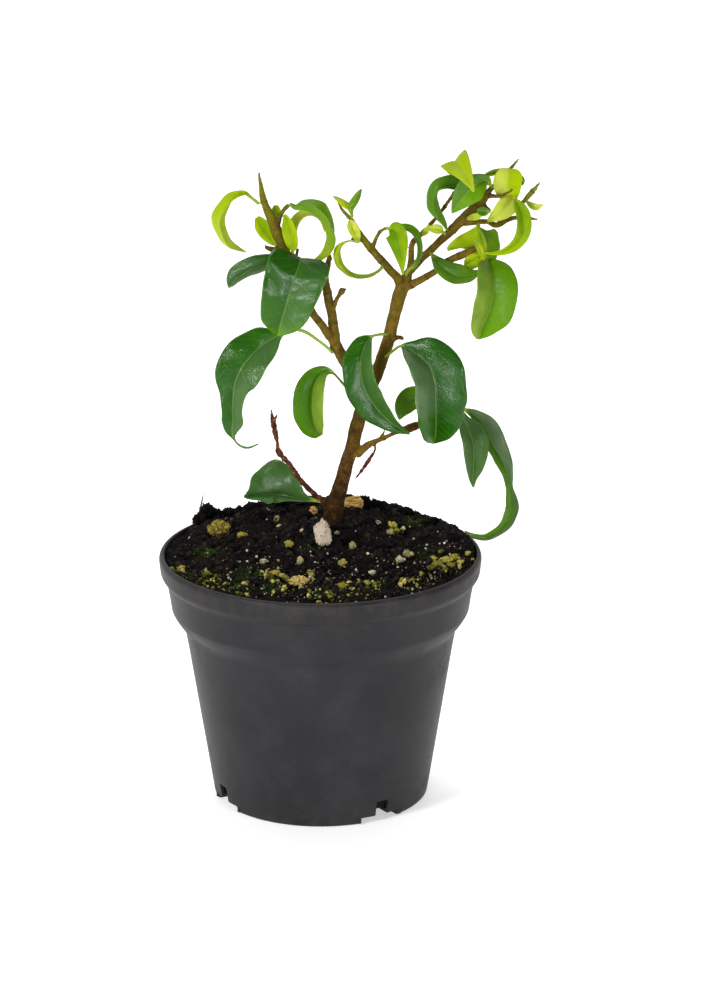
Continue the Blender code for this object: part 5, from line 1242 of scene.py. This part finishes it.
def scatter_tree():
    """Lumps strewn over a surface where its share is high, turned at random and bent out of round."""
    tree = bpy.data.node_groups.new("strewn_lumps", "GeometryNodeTree")
    start = scatter_interface(tree)
    seed = start["Seed"]
    density = times(tree, named_value(tree, "share"), start["Lumps Per Square Metre"])
    spots = add(tree, "GeometryNodeDistributePointsOnFaces",
                {"Mesh": start["Geometry"], "Density": density, "Seed": seed})
    rare = math_of(tree, "POWER", random_number(tree, seed), start["Few Large"])
    size = add(tree, "ShaderNodeMapRange", {"Value": rare, "To Min": start["Smallest"],
               "To Max": start["Largest"]}).outputs["Result"]
    turn = add(tree, "FunctionNodeRandomValue", {"Seed": seed}, data_type="FLOAT_VECTOR")
    turn.inputs["Max"].default_value = (math.tau, math.tau, math.tau)
    flat = add(tree, "ShaderNodeCombineXYZ", {"X": 1.0, "Y": 0.85, "Z": start["Flatness"]})
    ball = add(tree, "GeometryNodeMeshUVSphere", {"Radius": 1.0, "Segments": start["Sides"], "Rings": 5})
    placed = add(tree, "GeometryNodeInstanceOnPoints",
                 {"Points": spots.outputs["Points"], "Instance": ball.outputs["Mesh"],
                  "Rotation": turn.outputs[0], "Scale": scaled_vector(tree, flat.outputs[0], size)})
    shaded = store_on_each(tree, placed.outputs["Instances"], "shade", random_number(tree, 7))
    sized = store_on_each(tree, shaded, "size", size)
    real = add(tree, "GeometryNodeRealizeInstances", {"Geometry": sized})
    dents = add(tree, "ShaderNodeTexNoise", {"Scale": 900.0, "Detail": 3.0, "Roughness": 0.7}).outputs["Fac"]
    depth = times(tree, times(tree, minus(tree, dents, 0.5), start["Bend"]), named_value(tree, "size"))
    push = scaled_vector(tree, add(tree, "GeometryNodeInputNormal").outputs[0], depth)
    bent = add(tree, "GeometryNodeSetPosition", {"Geometry": real.outputs["Geometry"], "Offset": push})
    painted = add(tree, "GeometryNodeSetMaterial",
                  {"Geometry": bent.outputs["Geometry"], "Material": start["Material"]})
    add(tree, "NodeGroupOutput", {"Geometry": painted.outputs["Geometry"]})
    return tree


def strew(name, ground, tree, share, materials):
    """A piece of lumps strewn over the ground by the tree, as thick as share(x, y) says."""
    slot, look, values = STREWN[name]
    layer = ground.data.attributes.get("share") or ground.data.attributes.new("share", "FLOAT", "POINT")
    layer.data.foreach_set("value", [share(v.co.x, v.co.y) if v.co.z > STREWN_ABOVE else 0.0
                                     for v in ground.data.vertices])
    strewn = new_object(name, ground.data.copy())
    modifier = strewn.modifiers.new("strewn", "NODES")
    modifier.node_group = tree
    sockets = {item.name: item.identifier for item in tree.interface.items_tree if item.in_out == "INPUT"}
    for label, value in zip(STREWN_INPUTS, values):
        modifier[sockets[label]] = value
    modifier[sockets["Material"]] = materials[look]
    strewn.data = finished(strewn)
    hand_over(strewn, slot, smooth=False)


def everywhere(x, y):
    return 1.0 - 0.85 * smooth_step(46 * MM, 50 * MM, math.hypot(x, y))


def mostly_front(x, y):
    """More towards the front and the middle, and little at the back."""
    cluster = smooth_step(-0.1, 0.45, noise.noise(Vector((x, y, 9 * MM)) / (8 * MM)))
    return everywhere(x, y) * mix(0.12, 1.0, smooth_step(22 * MM, -15 * MM, y)) * mix(0.3, 1.0, cluster)


def make_grit(ground, materials):
    tree = scatter_tree()
    shares = {"peat_crumbs": everywhere, "perlite_specks": mostly_front,
              "moss_specks": patches_at(MOSS_SPOTS), "crust_specks": patches_at(CRUST_SPOTS)}
    for name, share in shares.items():
        strew(name, ground, tree, share, materials)


def add_lump(bm, centre, half_sizes, turn, seed, detail, rough, shade=0.5, lobes=0.0):
    """A ball pulled to size, dented, roughened and parted into lobes, added to bm."""
    layer = bm.verts.layers.float.get("shade") or bm.verts.layers.float.new("shade")
    pits = bm.verts.layers.float.get("crevice") or bm.verts.layers.float.new("crevice")
    made = bmesh.ops.create_icosphere(bm, subdivisions=detail, radius=1)["verts"]
    for vertex in made:
        way = vertex.co.copy()
        dent = 1
        for depth, finer, shift in ((0.24, 1.3, 0), (0.12, 3.5, 5), (rough, 8, 9), (0.7 * rough, 17, 2)):
            dent += depth * noise.noise(way * finer + Vector((seed, shift, 0)))
        warped = way * 2.3 + noise.noise_vector(way * 2 + Vector((seed, 7, 0))) * 0.5
        nearest, second = noise.voronoi(warped + Vector((seed, 1, 0)))[0][:2]
        # The crevice's depth is also stored on the point, for the crumbs' material to paint shade into it
        crevice = max(0.0, 1 - 3.5 * (second - nearest)) if lobes else 0.0
        dent -= lobes * crevice
        grown = stretched(way * dent, half_sizes)
        x = grown.x * math.cos(turn) - grown.y * math.sin(turn)
        y = grown.x * math.sin(turn) + grown.y * math.cos(turn)
        vertex.co = centre + Vector((x, y, grown.z))
        vertex[layer] = shade
        vertex[pits] = crevice


def make_loose(materials):
    for name, (kind, look, place, half_sizes, turn, seed) in LOOSE.items():
        bm = bmesh.new()
        rough, lobes = (0.20, 0.2) if kind == "crumb" else (0.18, 0.0)
        add_lump(bm, Vector(place) * MM + RIM_MIDDLE, half_sizes, math.radians(turn), seed, 6, rough,
                 lobes=lobes)
        hand_over(new_object(f"{name}_fine", mesh_of(bm, name), [materials[look]]), kind, name)


def add_crumb(bm, chance, number, centre, half_sizes):
    """A crumb with four smaller ones that cling to it."""
    shade = chance.random()
    add_lump(bm, centre, half_sizes, chance.uniform(0, 3), 20 + 3 * number, 4, 0.30, shade, 0.16)
    for k in range(4):
        turn = chance.uniform(0, math.tau)
        aside = Vector((math.cos(turn), math.sin(turn), chance.uniform(-0.2, 0.5))) * 0.85
        smaller = [size * chance.uniform(0.3, 0.6) for size in half_sizes]
        add_lump(bm, centre + stretched(aside, half_sizes), smaller, turn, 9 * number + k, 3, 0.30,
                 shade * chance.random())


def make_crumbs(materials):
    chance = random.Random(4)
    for colour in ("cream", "yellow"):
        bm = bmesh.new()
        for i, (kind, (right, up), half_sizes) in enumerate(CRUMBS):
            if kind == colour:
                add_crumb(bm, chance, i, on_soil(right, up, 0.35 * half_sizes[2]), half_sizes)
        name = f"crumbs_{colour}"
        hand_over(new_object(name, mesh_of(bm, colour), [materials[name]]), "crumb")


def make_clods(material):
    bm = bmesh.new()
    for i, (right, up, half_sizes) in enumerate(CLODS):
        centre = on_soil(right, up, 0.2 * half_sizes[2])
        add_lump(bm, centre, half_sizes, 0.7 * i, 60 + 3 * i, 5, 0.30, lobes=0.2)
    hand_over(new_object("peat_clods", mesh_of(bm, "peat_clods"), [material]), "soil")


def make_fibres(material):
    """Root hairs and bits of stalk lying on the soil, and one that stands up at the left."""
    chance = random.Random(9)
    bm = bmesh.new()
    for i in range(FIBRES):
        angle = chance.uniform(0, math.tau)
        away = 45 * MM * math.sqrt(chance.random())
        x, y = away * math.cos(angle), away * math.sin(angle)
        heading = chance.uniform(0, math.tau)
        thick = chance.uniform(0.06, 0.16) * MM
        stations = []
        for k in range(FIBRE_STEPS):
            lift = (0.9 + 0.5 * math.sin(k * 0.9 + i)) * MM
            place = Vector((x, y, soil_level(x, y) + crumbly(x, y) * 0.5 + lift))
            way = Vector((math.cos(heading), math.sin(heading), 0))
            stations.append((place, thick * (1 - 0.1 * k), way))
            heading += chance.uniform(-0.6, 0.6)
            x += FIBRE_STEP * way.x
            y += FIBRE_STEP * way.y
        add_tube(bm, stations, 5)
    foot = on_soil(-39.8, 10.6)
    add_tube(bm, [(foot + Vector((0.22, 0, 1.05)) * MM * k, (0.5 - 0.045 * k) * MM, Vector((0, 0, 1)))
                  for k in range(9)], 8)
    hand_over(new_object("soil_fibres", mesh_of(bm, "soil_fibres"), [material]), "bark")


# Wood

# A point along a limb; run is the length so far in mm, share the same as a part of the whole
Sample = namedtuple("Sample", "place radius way run limb share")


def buried_foot():
    """The trunk's lowest rows: its flared foot, and the length of it that the soil hides."""
    foot = LIMBS["trunk"][0]
    return ((1.6, foot[1] - ROOT_DEPTH / MM, 0, 1.8), (2.6, foot[1] - 12, 0, 3.0),
            (3.4, foot[1] - 4, 0, 3.2))


def scar_ring(run):
    """How near a limb is, at that length, to one of the unevenly spaced rings that fallen leaves left."""
    number = math.floor(run / RING_DISTANCE)
    shift = noise.noise(Vector((number * 3.7, 1.5, 0)))
    height = noise.noise(Vector((number * 5.3, 8.5, 0)))
    away = run - (number + 0.5 + 0.6 * shift) * RING_DISTANCE
    return max(0.0, 0.55 + height) * math.exp(-(away / RING_REACH) ** 2)


def knobbly(radius, run, name):
    """A limb's radius at that length, with rings of old leaf scars and slow swellings, in metres."""
    if name in DEAD_LIMBS:
        return radius * (0.85 + 0.45 * noise.noise(Vector((run / 1.1, 4.0, 0))))
    if radius < 0.45 * MM:
        return radius
    swell = noise.noise(Vector((run / 3.1, 2.0, 0)))
    return radius * (1 + 0.07 * swell) + 0.16 * MM * scar_ring(run) * smooth_step(2.6 * MM, 1.4 * MM, radius)


def limb_samples():
    """Samples along every limb, half a millimetre apart and slightly bent out of line."""
    samples = []
    for name, rows in LIMBS.items():
        rows = buried_foot() + rows if name == "trunk" else rows
        length = sum((seen(*b[:3]) - seen(*a[:3])).length for a, b in zip(rows, rows[1:]))
        count = max(8, round(length / LIMB_STATION))
        smooth = even_rows(rows, count)
        points = [seen(*row[:3]) for row in smooth]
        seed = len(samples) * 0.37
        for i, (point, way, row) in enumerate(zip(points, directions(points), smooth)):
            run = length * i / (count - 1) / MM + seed
            bend = noise.noise_vector(Vector((run / 4.5, seed, 0))) * 0.2 * MM
            radius = knobbly(row[3] * MM, run, name)
            samples.append(Sample(point + bend, radius, way, run, name, i / (count - 1)))
    return samples


def nearest_among(samples):
    """A function that gives the sample nearest to a point."""
    tree = KDTree(len(samples))
    for i, sample in enumerate(samples):
        tree.insert(sample.place, i)
    tree.balance()
    return lambda point: samples[tree.find(point)[1]]


def add_spur(bm, sample, chance, lengths, radii, sides):
    """One tapered stub that leaves the limb at the sample, on a side that chance picks."""
    side = sample.way.cross(Vector((chance.uniform(-1, 1), chance.uniform(-1, 1), chance.uniform(-1, 1))))
    side = (side.normalized() + sample.way * 0.7).normalized()
    long = chance.uniform(*lengths) * MM
    thick = chance.uniform(*radii) * MM
    add_tube(bm, [(sample.place + side * (sample.radius * 0.8 + long * t), thick * (1 - 0.75 * t), side)
                  for t in (0, 0.5, 1)], sides)


def add_spurs(bm, tips, samples):
    """Stubs of old leaf stalks, which grow together with the wood, and thin bristles between them."""
    chance = random.Random(12)
    for sample in samples:
        if sample.limb == "trunk" and sample.share < 0.3:
            continue
        if sample.limb not in DEAD_LIMBS and chance.random() < 0.16:
            add_spur(bm, sample, chance, (0.4, 1.0), (0.26, 0.42), 8)
        elif chance.random() < 0.4:
            add_spur(tips, sample, chance, (0.15, 0.75), (0.09, 0.17), 6)


def paint_bark(mesh, nearest, rough):
    """Gives each point of the bark its youth, its leaf-scar rings and its grain."""
    ages, dead, rings, moved = [], [], [], []
    for vertex in mesh.vertices:
        near = nearest(vertex.co)
        age = max(0.0, mix(*LIMB_YOUTH[near.limb], near.share))
        ages.append(age)
        dead.append(smooth_step(0.04, 0.2, near.share) if near.limb in DEAD_LIMBS else 0.0)
        thin = smooth_step(2.4 * MM, 1.2 * MM, near.radius)
        run = near.run + (vertex.co - near.place).dot(near.way) / MM
        rings.append(scar_ring(run) * mix(0.25, 1.0, thin))
        grain = (vertex.co - near.way * vertex.co.dot(near.way) * 0.7) / (0.75 * MM)
        ridge = noise.noise(grain) + 0.5 * noise.noise(grain * 2.3)
        moved.extend(vertex.co + vertex.normal * ridge * rough * mix(1.0, 0.45, age))
    for label, values in (("youth", ages), ("dead", dead), ("ring", rings)):
        mesh.attributes.new(label, "FLOAT", "POINT").data.foreach_set("value", values)
    mesh.vertices.foreach_set("co", moved)
    mesh.update()


def make_wood(material, samples, nearest):
    bm = bmesh.new()
    for name in LIMBS:
        add_tube(bm, [s for s in samples if s.limb == name])
    tips = bmesh.new()
    add_spurs(bm, tips, samples)
    wood = new_object("trunk_and_branches_fine", mesh_of(bm, "wood"), [material])
    remesh = wood.modifiers.new("grown together", "REMESH")
    remesh.mode = "VOXEL"
    remesh.voxel_size = BARK_VOXEL
    smooth = wood.modifiers.new("soft forks", "SMOOTH")
    smooth.factor = 0.5
    smooth.iterations = 2
    wood.data = finished(wood)
    wood.data.materials.clear()
    wood.data.materials.append(material)
    paint_bark(wood.data, nearest, BARK_ROUGHNESS)
    hand_over(wood, "bark", "trunk_and_branches")
    for name in POINTED_LIMBS:
        add_tube(tips, [s for s in samples if s.limb == name and s.share > 0.6])
    buds = new_object("bud_tips", mesh_of(tips, "bud_tips"), [material])
    paint_bark(buds.data, nearest, BUD_ROUGHNESS)
    hand_over(buds, "bark")


# Leaves

def leaf_stations(rows, facing, nearest):
    """Middle, frame and half width at each station of a leaf, from inside the bark to the tip."""
    stations = even_rows(rows, LEAF_STATIONS)
    points = [seen(*row[:3]) for row in stations]
    widths = [max(row[3], 0.12) * MM for row in stations]
    frames = blade_frames(points, [row[4] for row in stations], widths, facing)
    bark = nearest(points[0])
    root = bark.place + (points[0] - bark.place).normalized() * 0.5 * bark.radius
    points = [root.lerp(points[0], share) for share, _ in STALK_FOOT] + points
    widths = [width for _, width in STALK_FOOT] + widths
    return list(zip(points, frames[:1] * len(STALK_FOOT) + frames, widths))


def blade_middle(middle, frame, reach, rise, sweep, across):
    """A point of the blade's middle plane, folded up by rise, with its edges swept back."""
    forward, side, face = frame
    keel = math.sqrt(across * across + 0.0016) - 0.04
    arch = 1.75 * keel - 0.75 * across * across
    plane = (middle - side * across * reach * math.cos(rise) + face * arch * reach * math.sin(rise)
             - forward * across * across * reach * sweep)
    broad = smooth_step(1.5 * MM, 3.5 * MM, reach)
    swell = broad * MM * (0.35 * noise.noise(plane / (4.5 * MM)) + 0.10 * noise.noise(plane / (1.5 * MM)))
    return plane + face * swell


def blade_section(reach, share, wave, turn, across):
    """How far a blade's upper and lower skin lie over its middle plane, with the wave of its margin."""
    away = abs(across) * reach
    broad = smooth_step(0.6 * MM, 1.8 * MM, reach)
    rib = mix(STALK_RADIUS, 0.16 * MM, min(1, share * 1.25))
    round_half = math.sqrt(max(rib * rib - away * away, 0))
    skin = BLADE_HALF * (1 - 0.55 * across * across)
    groove = 0.12 * MM * broad * math.exp(-(away / (0.3 * MM)) ** 2)
    upper = max(skin, round_half * mix(0.9, 0.3, broad)) - groove
    lower = -max(skin, round_half)
    lift = wave * reach * across * across * math.sin(turn + (1.1 if across > 0 else 0))
    return upper + lift, lower + lift


def blade_tone(name, kind, share, across, reach):
    """Age and greyness of a blade, and of the stalk that it narrows to."""
    left_age, left_grey, right_age, right_grey, base_age, tip_age, _ = LEAF_LOOKS[name]
    grey_end = GREY_UNTIL.get(name, 2.0)
    stalk = smooth_step(1.7 * MM, 0.8 * MM, reach) * smooth_step(0.5, 0.4, share)
    half = smooth_step(-0.12, 0.12, across)
    # Each half's age also paints its light: halves lit from behind, and halves in shade, are made paler.
    # bloom is the grey painted over a half: partly sheen on a half turned across the light, partly an
    # underside's bloom.
    age = mix(left_age, right_age, half) + base_age * (1 - share) ** 3 + tip_age * share ** 3
    bloom = mix(left_grey, right_grey, half) * smooth_step(grey_end + 0.06, grey_end - 0.06, share)
    return mix(age, STALK_AGES[kind], stalk), mix(bloom, STALK_GREY, stalk)


def close_blade(bm, rings, maps, spots):
    """The skin over a blade's rings, with its underside's material and its UV maps."""
    for (upper, lower), (next_upper, next_lower) in zip(rings, rings[1:]):
        around = upper + lower[::-1]
        beyond = next_upper + next_lower[::-1]
        for j in range(len(around)):
            k = (j + 1) % len(around)
            quad = bm.faces.new((around[j], around[k], beyond[k], beyond[j]))
            quad.material_index = 0 if j < len(upper) - 1 else 1
    for upper, lower in (rings[0], rings[-1]):
        bm.faces.new(upper + lower[::-1])
    for quad in bm.faces:
        for loop in quad.loops:
            for layer, spot in zip(maps, spots[loop.vert]):
                loop[layer].uv = spot
    bmesh.ops.recalc_face_normals(bm, faces=bm.faces)


def make_leaf(name, shape, nearest, materials, nodes=()):
    kind, fold, sweep, rows = shape
    wave = LEAF_LOOKS[name][-1]
    facing = across_view(LEAF_FACING[name]) if name in LEAF_FACING else None
    stations = leaf_stations(rows, facing, nearest)
    even_lanes = [-1 + 2 * j / LEAF_LANES for j in range(LEAF_LANES + 1)]
    lanes = [math.copysign(abs(lane) ** LANE_POWER, lane) for lane in even_lanes]
    bm = bmesh.new()
    maps = [bm.loops.layers.uv.new(label) for label in ("blade", "millimetres")]
    tones = [bm.verts.layers.float.new(label) for label in ("age", "grey")]
    rings = []
    spots = {}
    run = 0.0
    for i, (middle, frame, reach) in enumerate(stations):
        run += (middle - stations[max(i - 1, 0)][0]).length
        share = i / (len(stations) - 1)
        ring = ([], [])
        for across in lanes:
            plane = blade_middle(middle, frame, reach, math.radians(fold), sweep, across)
            heights = blade_section(reach, share, wave, run / MM * 0.75, across)
            tone = blade_tone(name, kind, share, across, reach)
            for skin, height in zip(ring, heights):
                vertex = bm.verts.new(plane + frame[2] * height)
                for layer, value in zip(tones, tone):
                    vertex[layer] = value
                spots[vertex] = ((share, 0.5 + across / 2), (run / MM, across * reach / MM))
                skin.append(vertex)
        rings.append(ring)
    close_blade(bm, rings, maps, spots)
    hand_over(new_object(f"{name}_fine", mesh_of(bm, name), materials[kind]), kind, *nodes)


# Studio

def make_floor():
    bm = bmesh.new()
    bmesh.ops.create_grid(bm, x_segments=1, y_segments=1, size=FLOOR_HALF)
    material, tree, shader = new_material("floor_white")
    plug(tree, shader, {"Base Color": FLOOR_WHITE, "Roughness": 0.9,
                        "Emission Color": WHITE, "Emission Strength": FLOOR_GLOW})
    new_object("studio_floor", mesh_of(bm, "floor"), [material])


def make_room():
    """A white wall behind the pot and a darker room before it, as light only."""
    world = bpy.data.worlds.new("studio_light")
    world.use_nodes = True
    tree = world.node_tree
    way = add(tree, "ShaderNodeSeparateXYZ", {0: add(tree, "ShaderNodeTexCoord").outputs["Generated"]})
    strength = spread(tree, way.outputs["Y"], 0.1, 0.65, FRONT_LIGHT, 1.0)
    plug(tree, tree.nodes["Background"], {"Color": WHITE, "Strength": strength})
    bpy.context.scene.world = world


def make_lights():
    for name, (place, size, power) in STUDIO_LIGHTS.items():
        light = bpy.data.lights.new(name, "AREA")
        light.shape = "RECTANGLE"
        light.size, light.size_y = size
        light.energy = power
        lamp = bpy.data.objects.new(name, light)
        lamp.location = place
        lamp.rotation_euler = (LIGHT_AIM - Vector(place)).to_track_quat("-Z", "Y").to_euler()
        bpy.context.scene.collection.objects.link(lamp)


def make_camera():
    camera = bpy.data.cameras.new("photo_view")
    camera.sensor_width = SENSOR
    camera.lens = SENSOR * VIEW_DISTANCE / MM * PIXELS_PER_MM / PHOTO_HEIGHT
    camera.clip_start = CLOSEST_SHOWN
    camera.clip_end = FARTHEST_SHOWN
    eye = bpy.data.objects.new("photo_view", camera)
    eye.location = EYE
    eye.rotation_euler = (math.pi / 2 - VIEW_TILT, 0, 0)
    bpy.context.scene.collection.objects.link(eye)
    bpy.context.scene.camera = eye
    bpy.context.scene.view_settings.view_transform = "Standard"


def make_ground(bark):
    """The soil with everything that lies on it."""
    peat = soil_material("peat")
    materials = {name: crumb_material(*look) for name, look in CRUMB_LOOKS.items()}
    materials["wood_chip"] = chip_material()
    make_grit(make_soil(peat), materials)
    make_clods(peat)
    make_loose(materials)
    make_crumbs(materials)
    make_fibres(bark)


def make_plant(bark):
    tissue = leaf_tissue_group()
    blades = {name: [leaf_material(name, tissue, finish, under) for under in (False, True)]
              for name, finish in LEAF_FINISH.items()}
    samples = limb_samples()
    nearest = nearest_among(samples)
    make_wood(bark, samples, nearest)
    for name, shape in LEAVES.items():
        make_leaf(name, shape, nearest, blades, [name])
    for name, shape in SMALL_LEAVES.items():
        make_leaf(name, shape, nearest, blades)


def main():
    noise.seed_set(NOISE_SEED)
    make_camera()
    make_floor()
    make_room()
    make_lights()
    make_pot(pot_material(dust_group()))
    bark = bark_material()
    make_ground(bark)
    make_plant(bark)


main()
